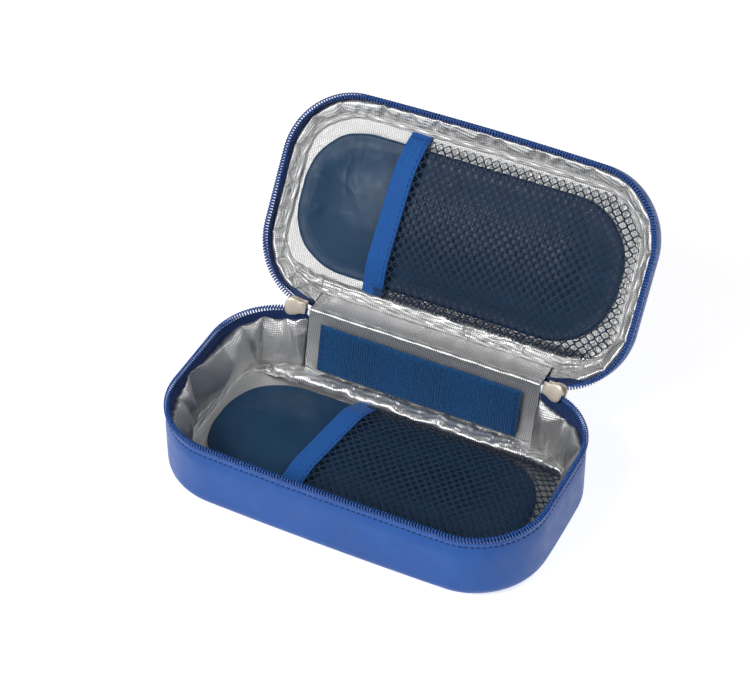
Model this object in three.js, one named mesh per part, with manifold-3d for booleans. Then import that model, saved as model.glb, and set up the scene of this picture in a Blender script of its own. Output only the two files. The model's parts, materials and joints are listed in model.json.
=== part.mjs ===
// Insulin cooling case: a soft zip case that opens like a book, padded and lined with foil, with a
// gel cold pack behind a net pocket in the base and another in the lid.
// Millimetres, +Z up, +X along the length, +Y towards the fold at the back.
// The origin is the centre of the flat underside. The lid stands open, as it is used.
import * as THREE from "three";
import { mergeVertices } from "three/addons/utils/BufferGeometryUtils.js";
import Module from "manifold-3d";

const wasm = await Module();
wasm.setup();

// Outside of the case
const caseLength = 200;
const caseWidth = 110;
const frontBow = 2.2;
const cornerRadius = 36;
const baseDepth = 41;
const lidDepth = 17;
const baseEdgeRadius = 6;
const lidEdgeRadius = 5;
const lidOpening = THREE.MathUtils.degToRad(125);

// Clearances
const layerGap = 0.3;
const foldGap = 0.3;

// Cover, foam and foil
const coverThickness = 1;
const foilThickness = 0.6;
const baseFoamThickness = 4;
const lidFoamThickness = 3.5;
const rimInset = 3;
const foldInset = 1.6;
const foldFoamStart = 1;
const endFloorInset = 6;
const sideFloorInset = 9;
const baseFoilStart = 9;
const lidFoilStart = 5.6;
const bindingWidth = 4.4;
const bindingHeight = 2.6;

// Zip
const coverEdge = 3.5;
const coilCrest = 1.15;
const coilValley = 0.75;
const coilEdge = 0.8;
const coilPitch = 5.6;
const tapeThickness = 0.7;
const baseTapeWidth = 12;
const lidTapeWidth = 7.4;
const sliderZone = 15;
const lidZipStart = 17.5;
const baseEdgeDip = 1;
const lidEdgeDip = 5.5;

// Zip slider
const sliderLength = 11;
const sliderHeight = 9;
const sliderTailHeight = 6.2;
const waistShare = 1 / 3;
const sliderPlate = 1.1;
const sliderOuterGap = 0.7;
const sliderInnerGap = 0.8;
const sliderCentre = 7.5;
const wedgeLength = 3.4;
const wedgeThickness = 0.8;
const wedgeSetback = 1.2;
const lipDepth = 1;
const lipThickness = 0.5;
const lipLength = 6;

// Pull tab and the bail that holds it
const bailReach = 2;
const bailRadius = 0.6;
const bailLength = 6.4;
const bailPost = 1.3;
const bailPostHeight = 1.6;
const knuckleRadius = 1.5;
const knuckleClearance = 0.25;
const tabLength = 22;
const tabNeck = 2.4;
const tabWidth = 6;
const tabTipWidth = 7.4;
const tabThickness = 1;
const tabHoleRadius = 1.3;

// Cold pack
const packEndClearance = 2.9;
const packSideClearance = 3.7;
const packEndFlat = 7.4;
const packShiftX = -1.2;
const packShiftY = -1.4;
const packThickness = 7.2;
const filmThickness = 0.6;
const weldWidth = 8;
const packShoulder = 16;

// Net pocket, elastic band and loop strip
const baseBandStart = -32;
const lidBandStart = -40;
const bandWidth = 11.3;
const bandThickness = 1;
const netThickness = 0.7;
const netPitch = 10;
const netThread = 2.1;
const netHem = 2.4;
const hemOverlap = 0.7;
const netMouthSag = 0.6;
const smallestGapShare = 0.3;
const pocketClearance = 0.5;
const pocketRun = 13;
const stripLength = 111;
const stripStart = 3.8;
const stripFootClearance = 1.9;
const stripThickness = 1.6;

// Facets
const cornerSteps = 8;
const frontSteps = 6;
const edgeSteps = 3;
const coilSides = 5;
const roundSides = 14;
const curveSteps = 4;
const packCornerSteps = 5;
const bandSteps = 14;
const mouthSteps = 12;

// Places that follow from the sizes above
const quarterTurn = Math.PI / 2;
const halfLength = caseLength / 2;
const halfWidth = caseWidth / 2;
const hingeHalf = halfLength - cornerRadius;
const sideHalf = halfWidth - cornerRadius;
const tapeInset = coverThickness + layerGap;
const tapeInside = tapeInset + tapeThickness;
const coilInset = tapeInset - layerGap - coilCrest;
const coilLevel = coilEdge + coilCrest;
const foilOffset = layerGap + foilThickness;
const floorFoilMargin = foilOffset + layerGap;
const bindingEnd = floorFoilMargin + bindingWidth;
const packLength = caseLength - 2 * (endFloorInset + bindingEnd + packEndClearance);
const packWidth = caseWidth - 2 * (sideFloorInset + bindingEnd + packSideClearance);
const packCornerRadius = (packWidth - packEndFlat) / 2;
const pocketMargin = bindingEnd + layerGap;
const pocketLift = packThickness + layerGap + pocketClearance;

const root = new THREE.Group();
const lidGroup = new THREE.Group();
lidGroup.position.set(0, halfWidth, baseDepth);
lidGroup.rotation.x = -lidOpening;
root.add(lidGroup);

// Each half is a tray: level 0 is the plane of the zip, and levels grow towards its floor.
// The lid is drawn shut and turned open by its group.
const base = {
  name: "base",
  group: root,
  depth: baseDepth,
  edgeRadius: baseEdgeRadius,
  foam: baseFoamThickness,
  foilStart: baseFoilStart,
  tapeWidth: baseTapeWidth,
  edgeDip: baseEdgeDip,
  bandStart: baseBandStart,
  zipStart: layerGap,
  put: (x, y, level) => [x, y, baseDepth - level],
};
const lid = {
  name: "lid",
  group: lidGroup,
  depth: lidDepth,
  edgeRadius: lidEdgeRadius,
  foam: lidFoamThickness,
  foilStart: lidFoilStart,
  tapeWidth: lidTapeWidth,
  edgeDip: lidEdgeDip,
  bandStart: lidBandStart,
  zipStart: lidZipStart,
  put: (x, y, level) => [x, y - halfWidth, level],
};
for (const tray of [base, lid]) {
  tray.floorFoam = tray.depth - coverThickness - layerGap - tray.foam;
  tray.floorFoil = tray.floorFoam - layerGap - foilThickness;
  tray.rest = tray.floorFoil - layerGap;
}

// Materials
const finish = (color, roughness, metalness = 0) => ({ color, roughness, metalness });
const finishes = {
  cover: finish("#3a5fb0", 0.45),
  foam: finish("#e9ebee", 0.9),
  foil: finish("#c9c9c6", 0.35, 0.6),
  tape: finish("#1c3f86", 0.8),
  coil: finish("#16336f", 0.5),
  band: finish("#1d4aa0", 0.85),
  net: finish("#142742", 0.8),
  loop: finish("#14508a", 0.95),
  film: finish("#27456b", 0.3),
  gel: finish("#4d7ba8", 0.2),
  metal: finish("#cfc4b6", 0.35, 0.8),
};

function addPiece(group, name, geometry, finishName) {
  const mesh = new THREE.Mesh(geometry, new THREE.MeshStandardMaterial(finishes[finishName]));
  mesh.name = name;
  group.add(mesh);
  return mesh;
}

// Closed surfaces

function signedVolume(points, faces) {
  const corner = new THREE.Vector3();
  const next = new THREE.Vector3();
  const last = new THREE.Vector3();
  return faces.reduce((sum, [a, b, c]) => {
    corner.fromArray(points[a]);
    next.fromArray(points[b]);
    last.fromArray(points[c]);
    return sum + corner.dot(next.cross(last));
  }, 0);
}

function surface(points, faces) {
  const outward = signedVolume(points, faces) > 0;
  const geometry = new THREE.BufferGeometry();
  geometry.setAttribute("position", new THREE.Float32BufferAttribute(points.flat(), 3));
  geometry.setIndex(faces.flatMap(([a, b, c]) => (outward ? [a, b, c] : [a, c, b])));
  return geometry;
}

function joinRings(from, to, count) {
  const faces = [];
  for (let i = 0; i < count; i++) {
    const next = (i + 1) % count;
    faces.push([from + i, from + next, to + next], [from + i, to + next, to + i]);
  }
  return faces;
}

// Rings with as many points each, one after another, closed by a fan at both ends
function stack(rings) {
  const count = rings[0].length;
  const points = rings.flat();
  const faces = rings.slice(1).flatMap((ring, k) => joinRings(k * count, (k + 1) * count, count));
  const average = (ring, axis) => ring.reduce((sum, point) => sum + point[axis], 0) / count;
  const middle = (ring) => [0, 1, 2].map((axis) => average(ring, axis));
  const first = points.push(middle(rings[0])) - 1;
  const last = points.push(middle(rings[rings.length - 1])) - 1;
  const start = (rings.length - 1) * count;
  for (let i = 0; i < count; i++) {
    const next = (i + 1) % count;
    faces.push([first, next, i], [last, start + i, start + next]);
  }
  return surface(points, faces);
}

function capFaces(section, offset, reversed) {
  const flat = section.map(([across, along]) => new THREE.Vector2(across, along));
  const sense = Math.sign(THREE.ShapeUtils.area(flat)) * (reversed ? -1 : 1);
  return THREE.ShapeUtils.triangulateShape(flat, []).map((triangle) => {
    const turn = Math.sign(THREE.ShapeUtils.area(triangle.map((i) => flat[i])));
    const [a, b, c] = turn === sense ? triangle : [...triangle].reverse();
    return [offset + a, offset + b, offset + c];
  });
}

// A bar along the stations of a tray's rim, with a section given as [inset, level] points
function sweep(tray, stations, sectionAt, closed = false) {
  const sections = stations.map(sectionAt);
  const count = sections[0].length;
  const points = stations.flatMap((at, k) =>
    sections[k].map(([inset, level]) => onTray(tray, at, inset, level)),
  );
  const faces = [];
  for (let k = 1; k < stations.length; k++) faces.push(...joinRings((k - 1) * count, k * count, count));
  const last = (stations.length - 1) * count;
  if (closed) faces.push(...joinRings(last, 0, count));
  else faces.push(...capFaces(sections[0], 0, true), ...capFaces(sections.at(-1), last, false));
  return surface(points, faces);
}

function onTray(tray, at, inset, level) {
  return tray.put(at.x - inset * at.nx, at.y - inset * at.ny, level);
}

// Booleans

function toSolid(geometry) {
  const plain = geometry.clone();
  plain.deleteAttribute("normal");
  plain.deleteAttribute("uv");
  const merged = mergeVertices(plain);
  return new wasm.Manifold(
    new wasm.Mesh({
      numProp: 3,
      vertProperties: new Float32Array(merged.attributes.position.array),
      triVerts: new Uint32Array(merged.index.array),
    }),
  );
}

function toGeometry(solid) {
  const { vertProperties, triVerts } = solid.getMesh();
  const geometry = new THREE.BufferGeometry();
  geometry.setAttribute("position", new THREE.BufferAttribute(vertProperties, 3));
  geometry.setIndex(new THREE.BufferAttribute(triVerts, 1));
  return geometry;
}

const joined = (geometries) => geometries.map(toSolid).reduce((sum, next) => sum.add(next));

// The rim, walked from the left end of the fold round the front to its right end

const cornerCentres = [
  [-hingeHalf, sideHalf],
  [-hingeHalf, -sideHalf],
  [hingeHalf, -sideHalf],
  [hingeHalf, sideHalf],
];
const legs = cornerCentres.flatMap((centre, k) => {
  const start = quarterTurn * (k + 1);
  const end = start + quarterTurn;
  const arc = quarterTurn * cornerRadius;
  const corner = { from: centre, to: centre, start, end, length: arc, steps: cornerSteps };
  const next = cornerCentres[k + 1];
  if (!next) return [corner];
  const length = Math.hypot(next[0] - centre[0], next[1] - centre[1]);
  const front = next[0] !== centre[0];
  return [corner, { from: centre, to: next, start: end, end, length, steps: front ? frontSteps : 1 }];
});
const rimLength = legs.reduce((passed, leg) => {
  leg.begins = passed;
  return passed + leg.length;
}, 0);

function rimAt(distance) {
  const leg = legs.findLast((candidate) => candidate.begins <= distance);
  const share = Math.min(1, (distance - leg.begins) / leg.length);
  const angle = THREE.MathUtils.lerp(leg.start, leg.end, share);
  const nx = Math.cos(angle);
  const ny = Math.sin(angle);
  const x = THREE.MathUtils.lerp(leg.from[0], leg.to[0], share) + cornerRadius * nx;
  const y = THREE.MathUtils.lerp(leg.from[1], leg.to[1], share) + cornerRadius * ny;
  const forward = THREE.MathUtils.clamp(-y / halfWidth, 0, 1);
  return { x, y: y - frontBow * forward * (1 - (x / halfLength) ** 2), nx, ny, distance };
}

function stationsBetween(start, end) {
  const marks = legs.flatMap((leg) =>
    Array.from({ length: leg.steps }, (_, i) => leg.begins + (leg.length * i) / leg.steps),
  );
  const inner = marks.filter((mark) => mark > start + layerGap && mark < end - layerGap);
  return [start, ...inner, end].map(rimAt);
}

const rim = stationsBetween(0, rimLength);
const fold = [-1, 1].map((side) => ({ x: side * (hingeHalf - layerGap), y: halfWidth, nx: 0, ny: 1 }));
const zipStations = (tray) => stationsBetween(tray.zipStart, rimLength - tray.zipStart);
const floorInset = (at) => endFloorInset * at.nx ** 2 + sideFloorInset * at.ny ** 2;

// Inset of the cover's inner face at a level, with a clearance to it, round the bottom edge too
function insideCover(tray, level, clearance) {
  const radius = tray.edgeRadius - coverThickness - clearance;
  const below = Math.max(0, level - tray.depth + tray.edgeRadius);
  return tray.edgeRadius - Math.sqrt(Math.max(0, radius ** 2 - below ** 2));
}

// The cover's edge bows away from the zip beside the parked slider
function coverStart(tray, at) {
  const nearest = Math.min(at.distance, rimLength - at.distance);
  return coverEdge + tray.edgeDip * (1 - THREE.MathUtils.smoothstep(nearest, sliderZone, 2 * sliderZone));
}

function coverSection(tray, start) {
  const arc = (radius) =>
    Array.from({ length: edgeSteps + 1 }, (_, i) => {
      const turn = (quarterTurn * i) / edgeSteps;
      const centre = tray.depth - tray.edgeRadius;
      return [tray.edgeRadius - radius * Math.cos(turn), centre + radius * Math.sin(turn)];
    });
  const outer = arc(tray.edgeRadius);
  const inner = arc(tray.edgeRadius - coverThickness).reverse();
  return [[0, start], ...outer, ...inner, [coverThickness, start]];
}

// A strip of even thickness in front of a wall that runs from one [inset, level] point to another
function facing([fromInset, fromLevel], [toInset, toLevel], gap, thickness) {
  const run = Math.hypot(toInset - fromInset, toLevel - fromLevel);
  const across = (toLevel - fromLevel) / run;
  const up = -(toInset - fromInset) / run;
  const moved = (inset, level, by) => [inset + by * across, level + by * up];
  return [
    moved(fromInset, fromLevel, gap),
    moved(toInset, toLevel, gap),
    moved(toInset, toLevel, gap + thickness),
    moved(fromInset, fromLevel, gap + thickness),
  ];
}

const plate = (tray, insetAt, levels) =>
  stack(levels.map((level) => rim.map((at) => onTray(tray, at, insetAt(at, level), level))));

// Cover, foam and foil of one tray

function addCover(tray, floorName) {
  const side = sweep(tray, rim, (at) => coverSection(tray, coverStart(tray, at)));
  addPiece(tray.group, `${tray.name}_side_panel`, side, "cover");
  const floorLevels = [tray.depth - coverThickness, tray.depth];
  const floor = plate(tray, () => tray.edgeRadius + layerGap, floorLevels);
  addPiece(tray.group, floorName, floor, "cover");
}

function addFoam(tray) {
  const under = tray.depth - coverThickness - layerGap;
  const floorLevels = [under, under - tray.foam / 2, tray.floorFoam];
  const floor = plate(tray, (at, level) => insideCover(tray, level, layerGap), floorLevels);
  addPiece(tray.group, `${tray.name}_floor_foam`, floor, "foam");

  const foot = tray.floorFoam - layerGap;
  const tapeEnd = tray.tapeWidth + layerGap;
  const wall = sweep(tray, rim, (at) => [
    [tapeInside + layerGap, tray.foilStart],
    [tapeInside + layerGap, tapeEnd],
    [insideCover(tray, tapeEnd, layerGap), tapeEnd],
    [insideCover(tray, foot, layerGap), foot],
    [floorInset(at), foot],
    [rimInset, tray.foilStart],
  ]);
  addPiece(tray.group, `${tray.name}_wall_foam`, wall, "foam");
}

function addFoil(tray) {
  const foot = tray.floorFoam - layerGap;
  const wall = sweep(tray, rim, (at) =>
    facing([rimInset, tray.foilStart], [floorInset(at), foot], layerGap, foilThickness),
  );
  addPiece(tray.group, `${tray.name}_wall_lining`, wall, "foil");
  const floorEdge = (at) => floorInset(at) + floorFoilMargin;
  const floor = plate(tray, floorEdge, [foot, tray.floorFoil]);
  addPiece(tray.group, `${tray.name}_floor_lining`, floor, "foil");

  const binding = sweep(
    tray,
    rim,
    (at) =>
      Array.from({ length: edgeSteps + 1 }, (_, i) => {
        const turn = (Math.PI * i) / edgeSteps;
        const across = floorEdge(at) + (bindingWidth * (1 - Math.cos(turn))) / 2;
        return [across, tray.rest - bindingHeight * Math.sin(turn)];
      }),
    true,
  );
  addPiece(tray.group, `${tray.name}_floor_binding`, binding, "foil");
}

// Back panel of one tray: its half of the hinge, between the ends of the side panel

function addBack(tray, half) {
  const foot = tray.floorFoam - layerGap;
  const head = [foldInset, foldFoamStart];
  const heel = [sideFloorInset, foot];
  const cover = sweep(tray, fold, () => coverSection(tray, foldGap));
  const foam = sweep(tray, fold, () => [
    [coverThickness + layerGap, foldFoamStart],
    [insideCover(tray, foot, layerGap), foot],
    heel,
    head,
  ]);
  const foil = sweep(tray, fold, () => facing(head, heel, layerGap, foilThickness));
  addPiece(tray.group, `back_panel_${half}`, cover, "cover");
  addPiece(tray.group, `back_foam_${half}`, foam, "foam");
  addPiece(tray.group, `back_lining_${half}`, foil, "foil");
}

function addLoopStrip(tray) {
  const slope = (sideFloorInset - foldInset) / (tray.floorFoam - layerGap - foldFoamStart);
  const onWall = (level) => [foldInset + slope * (level - foldFoamStart), level];
  const ends = [-1, 1].map((side) => ({ ...fold[0], x: (side * stripLength) / 2 }));
  const stripEnd = tray.rest - bindingHeight - stripFootClearance;
  const gap = foilOffset + layerGap;
  const strip = sweep(tray, ends, () => facing(onWall(stripStart), onWall(stripEnd), gap, stripThickness));
  addPiece(tray.group, "loop_fastener_strip", strip, "loop");
}

// Zip: a tape inside the cover's edge, and the nylon coil along its rim

function addZip(tray) {
  const tape = sweep(tray, zipStations(tray), () => [
    [tapeInset, coilEdge],
    [tapeInside, coilEdge],
    [tapeInside, tray.tapeWidth],
    [tapeInset, tray.tapeWidth],
  ]);
  addPiece(tray.group, `${tray.name}_zipper_tape`, tape, "tape");

  const ribs = Math.floor((rimLength - 2 * tray.zipStart) / coilPitch);
  const pitch = (rimLength - 2 * tray.zipStart) / ribs;
  const marks = Array.from({ length: 2 * ribs + 1 }, (_, i) => tray.zipStart + (pitch * i) / 2);
  const ring = (radius) =>
    Array.from({ length: coilSides }, (_, i) => {
      const turn = (2 * Math.PI * i) / coilSides;
      return [coilInset + radius * Math.cos(turn), coilLevel + radius * Math.sin(turn)];
    });
  const coil = sweep(tray, marks.map(rimAt), (at) => {
    const step = Math.round((2 * (at.distance - tray.zipStart)) / pitch);
    return ring(step % 2 ? coilCrest : coilValley);
  });
  addPiece(tray.group, `${tray.name}_zipper_coil`, coil, "coil");
}

// Cold pack: gel between a flat and a domed film, welded all round

function packRing(inset) {
  const radius = packCornerRadius - inset;
  const acrossX = packLength / 2 - packCornerRadius;
  const acrossY = packWidth / 2 - packCornerRadius;
  return [0, 1, 2, 3].flatMap((corner) =>
    Array.from({ length: packCornerSteps + 1 }, (_, i) => {
      const turn = quarterTurn * (corner + i / packCornerSteps);
      const sideX = corner === 0 || corner === 3 ? 1 : -1;
      const sideY = corner < 2 ? 1 : -1;
      return [
        packShiftX + sideX * acrossX + radius * Math.cos(turn),
        packShiftY + sideY * acrossY + radius * Math.sin(turn),
      ];
    }),
  );
}

function addPack(tray) {
  const weldTop = 2 * filmThickness + layerGap;
  const doubled = filmThickness + layerGap;
  const riseShares = [0, 0.12, 0.35, 0.65, 1];
  const dome = riseShares.map((share) => {
    const height = (packThickness - weldTop) * Math.sin(quarterTurn * share);
    return [weldWidth + packShoulder * (1 - Math.cos(quarterTurn * share)), weldTop + height];
  });
  const under = (by, lowest) => dome.map(([inset, height]) => [inset + by, Math.max(lowest, height - by)]);
  const laid = (inset, height) => packRing(inset).map(([x, y]) => tray.put(x, y, tray.rest - height));
  const pile = (profile) => stack(profile.map(([inset, height]) => laid(inset, height)));

  addPiece(tray.group, `${tray.name}_pack_bottom_film`, pile([[0, 0], [0, filmThickness]]), "film");
  const gelRings = under(doubled, doubled);
  addPiece(tray.group, `${tray.name}_pack_gel`, pile(gelRings), "gel");
  const rimRings = [[0, doubled], [0, weldTop]];
  const filmRings = [...under(filmThickness, doubled).reverse(), ...rimRings, ...dome];
  addPiece(tray.group, `${tray.name}_pack_top_film`, pile(filmRings), "film");
}

// Net pocket: a hexagonal net that arches over the pack from seam to seam, and the elastic band
// that edges its mouth

// The pocket's outline, or a line that runs further in beside it
const pocketLine = (depth) =>
  rim.map((at) => {
    const inset = floorInset(at) + pocketMargin + depth;
    return new THREE.Vector2(at.x - inset * at.nx, at.y - inset * at.ny);
  });
const pocketOutline = pocketLine(0);

// Distance inwards from the convex outline, negative outside it
function edgeDistance(x, y) {
  const reach = pocketOutline.map((from, i) => {
    const to = pocketOutline[(i + 1) % pocketOutline.length];
    const line = to.clone().sub(from);
    return line.cross(new THREE.Vector2(x - from.x, y - from.y)) / line.length();
  });
  return Math.min(...reach);
}

function pocketRise(x, y) {
  const share = THREE.MathUtils.clamp(edgeDistance(x, y) / pocketRun, 0, 1);
  return pocketLift * Math.sqrt(1 - (1 - share) ** 2);
}

// Where such a line crosses a given x, at the front and at the back
function crossings(line, x) {
  const found = line.flatMap((from, i) => {
    const to = line[(i + 1) % line.length];
    if ((from.x - x) * (to.x - x) >= 0) return [];
    return [from.y + ((to.y - from.y) * (x - from.x)) / (to.x - from.x)];
  });
  return [Math.min(...found), Math.max(...found)];
}

// The seam from the mouth's front end round to its back end, at a depth beside the outline
function seamLine(depth, pocketMouth) {
  const line = pocketLine(depth);
  const [front, back] = crossings(line, pocketMouth);
  const between = line.filter((point) => point.x > pocketMouth + layerGap);
  return [new THREE.Vector2(pocketMouth, front), ...between, new THREE.Vector2(pocketMouth, back)];
}

function hemStrip(pocketMouth) {
  const lines = [0, netHem / 2, netHem].map((depth) => seamLine(depth, pocketMouth));
  const sections = lines[0].map((_, i) => {
    const across = lines.map((line) => line[i]);
    const under = across.map(({ x, y }) => [x, y, 0]);
    const over = across.map(({ x, y }) => [x, y, netThickness]);
    return [...under, ...over.reverse()];
  });
  return stack(sections);
}

function netShape(pocketMouth) {
  const seam = seamLine(netHem - hemOverlap, pocketMouth);
  const [front, back] = [seam[0].y, seam[seam.length - 1].y];
  const mouth = Array.from({ length: mouthSteps - 1 }, (_, i) => {
    const share = (i + 1) / mouthSteps;
    const sag = netMouthSag * (1 - (2 * share - 1) ** 2);
    return new THREE.Vector2(pocketMouth + sag, THREE.MathUtils.lerp(back, front, share));
  });
  const shape = new THREE.Shape([...seam, ...mouth]);
  const rowStep = netPitch * Math.sin(Math.PI / 3);
  const radius = (netPitch - netThread) / Math.sqrt(3);
  const firstColumn = pocketMouth + netMouthSag + netHem + radius;
  for (let row = Math.ceil(front / rowStep); row * rowStep < back; row++) {
    const shift = row % 2 ? netPitch / 2 : 0;
    for (let x = firstColumn + shift; x < halfLength; x += netPitch) {
      const whole = hexagon(x, row * rowStep, radius);
      const gap = insideHem(whole);
      const share = THREE.ShapeUtils.area(gap) / THREE.ShapeUtils.area(whole);
      if (share > smallestGapShare) shape.holes.push(new THREE.Path(gap));
    }
  }
  return shape;
}

function hexagon(x, y, radius) {
  return Array.from({ length: 6 }, (_, i) => {
    const turn = (Math.PI * (2 * i + 1)) / 6;
    return new THREE.Vector2(x + radius * Math.cos(turn), y + radius * Math.sin(turn));
  });
}

// The part of a convex polygon that lies further in than the hem
function insideHem(polygon) {
  return pocketOutline.reduce((kept, from, i) => {
    const to = pocketOutline[(i + 1) % pocketOutline.length];
    const along = to.clone().sub(from).normalize();
    const depth = (point) => along.cross(point.clone().sub(from)) - netHem;
    return kept.flatMap((point, k) => {
      const next = kept[(k + 1) % kept.length];
      const [here, there] = [depth(point), depth(next)];
      const crossing = here * there < 0 ? [point.clone().lerp(next, here / (here - there))] : [];
      return here >= 0 ? [point, ...crossing] : crossing;
    });
  }, polygon);
}

// Lays a geometry, drawn flat at its own thickness, over the pack
function laidOverPack(tray, flat) {
  const merged = mergeVertices(flat.deleteAttribute("normal").deleteAttribute("uv"));
  const inThrees = (list) =>
    Array.from({ length: list.length / 3 }, (_, i) => Array.from(list.slice(3 * i, 3 * i + 3)));
  const points = inThrees(merged.attributes.position.array).map(([x, y, above]) =>
    tray.put(x, y, tray.rest - pocketRise(x, y) - above),
  );
  return surface(points, inThrees(merged.index.array));
}

function addPocket(tray) {
  const { bandStart } = tray;
  const pocketMouth = bandStart + bandWidth + layerGap;
  const shape = netShape(pocketMouth);
  const mesh = new THREE.ExtrudeGeometry(shape, { depth: netThickness, bevelEnabled: false });
  const net = joined([hemStrip(pocketMouth), mesh].map((flat) => laidOverPack(tray, flat)));
  addPiece(tray.group, `${tray.name}_net_pocket`, toGeometry(net), "net");

  const [front, back] = crossings(pocketOutline, bandStart);
  const band = stack(
    Array.from({ length: bandSteps + 1 }, (_, i) => {
      const y = THREE.MathUtils.lerp(front, back, i / bandSteps);
      const under = tray.rest - pocketRise(bandStart + bandWidth / 2, y);
      const over = under - bandThickness;
      const sides = [bandStart, bandStart + bandWidth];
      return [
        tray.put(sides[0], y, under),
        tray.put(sides[1], y, under),
        tray.put(sides[1], y, over),
        tray.put(sides[0], y, over),
      ];
    }),
  );
  addPiece(tray.group, `${tray.name}_elastic_band`, band, "band");
}

// Zip slider, drawn with its travel along X, outwards along Y and its middle on the zip's plane

const outerFace = -(coilCrest - coilInset) - sliderOuterGap;
const bailInset = outerFace - sliderPlate - bailReach;

function slab(shape, nearInset, thickness) {
  const geometry = new THREE.ExtrudeGeometry(shape, {
    depth: thickness,
    bevelEnabled: false,
    curveSegments: curveSteps,
  });
  return geometry.rotateX(quarterTurn).translate(0, cornerRadius - nearInset, 0);
}

function block(length, fromInset, toInset, height, x, z) {
  const depth = toInset - fromInset;
  return new THREE.BoxGeometry(length, depth, height).translate(x, cornerRadius - fromInset - depth / 2, z);
}

function sliderOutline() {
  const nose = sliderLength / 2;
  const wide = sliderHeight / 2;
  const narrow = sliderTailHeight / 2;
  const waist = -nose * waistShare;
  const shoulder = nose * waistShare;
  const outline = new THREE.Shape();
  outline.moveTo(-nose, -narrow);
  outline.lineTo(waist, -narrow);
  outline.bezierCurveTo(0, -narrow, 0, -wide, shoulder, -wide);
  outline.quadraticCurveTo(nose, -wide, nose, 0);
  outline.quadraticCurveTo(nose, wide, shoulder, wide);
  outline.bezierCurveTo(0, wide, 0, narrow, waist, narrow);
  outline.lineTo(-nose, narrow);
  return outline;
}

function sliderBody() {
  const innerFace = tapeInside + sliderInnerGap;
  const outerPlate = slab(sliderOutline(), outerFace - sliderPlate, sliderPlate);
  const innerPlate = slab(sliderOutline(), innerFace, sliderPlate);
  const wedgeX = sliderLength / 2 - wedgeSetback - wedgeLength / 2;
  const wedge = block(wedgeLength, outerFace - layerGap, innerFace + layerGap, wedgeThickness, wedgeX, 0);
  const lips = [-1, 1].map((side) => {
    const height = side * (sliderHeight / 2 - lipThickness / 2);
    return block(lipLength, outerFace - layerGap, outerFace + lipDepth, lipThickness, wedgeX, height);
  });
  const posts = [-1, 1].map((side) => {
    const x = (side * (bailLength - bailPost)) / 2;
    return block(bailPost, bailInset - bailRadius, outerFace - layerGap, bailPostHeight, x, 0);
  });
  const bar = new THREE.CylinderGeometry(bailRadius, bailRadius, bailLength - bailPost, roundSides);
  bar.rotateZ(quarterTurn).translate(0, cornerRadius - bailInset, 0);
  return toGeometry(joined([outerPlate, innerPlate, wedge, ...lips, ...posts, bar]));
}

function tabOutline(neckWidth) {
  const neck = neckWidth / 2;
  const root = tabWidth / 2;
  const tip = tabTipWidth / 2;
  const outline = new THREE.Shape();
  outline.moveTo(-neck, 0);
  outline.lineTo(-neck, -tabNeck);
  outline.lineTo(-root, -tabNeck - tip / 2);
  outline.lineTo(-tip, tip - tabLength);
  outline.absarc(0, tip - tabLength, tip, Math.PI, 2 * Math.PI, false);
  outline.lineTo(root, -tabNeck - tip / 2);
  outline.lineTo(neck, -tabNeck);
  outline.lineTo(neck, 0);
  const hole = new THREE.Path();
  hole.absarc(0, tip - tabLength, tabHoleRadius, 0, 2 * Math.PI, true);
  outline.holes.push(hole);
  return outline;
}

function pullTab() {
  const knuckleLength = bailLength - 2 * bailPost - 2 * knuckleClearance;
  const barrel = (radius, length) =>
    new THREE.CylinderGeometry(radius, radius, length, roundSides)
      .rotateZ(quarterTurn)
      .translate(0, cornerRadius - bailInset, 0);
  const blade = slab(tabOutline(knuckleLength), bailInset + knuckleRadius - tabThickness, tabThickness);
  const solid = joined([barrel(knuckleRadius, knuckleLength), blade]);
  const bore = toSolid(barrel(bailRadius + knuckleClearance, bailLength));
  return toGeometry(solid.subtract(bore));
}

function addSlider(side) {
  const name = side < 0 ? "left" : "right";
  const turned = new THREE.Group();
  turned.rotation.z = -sliderCentre / cornerRadius;
  const corner = new THREE.Group();
  corner.position.set(side * hingeHalf, sideHalf, baseDepth);
  corner.scale.x = side;
  corner.add(turned);
  root.add(corner);
  addPiece(turned, `${name}_slider_body`, sliderBody(), "metal");
  addPiece(turned, `${name}_pull_tab`, pullTab(), "metal");
}

addCover(base, "base_bottom_panel");
addCover(lid, "lid_top_panel");
addBack(base, "lower");
addBack(lid, "upper");
for (const tray of [base, lid]) {
  addFoam(tray);
  addFoil(tray);
  addZip(tray);
  addPack(tray);
  addPocket(tray);
}
addLoopStrip(base);
for (const side of [-1, 1]) addSlider(side);

export default root;
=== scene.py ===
"""Looks of the insulin cooling case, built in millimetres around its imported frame."""

import json
import math

import bmesh
import bpy
import numpy as np
from mathutils import Matrix, Vector


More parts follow.
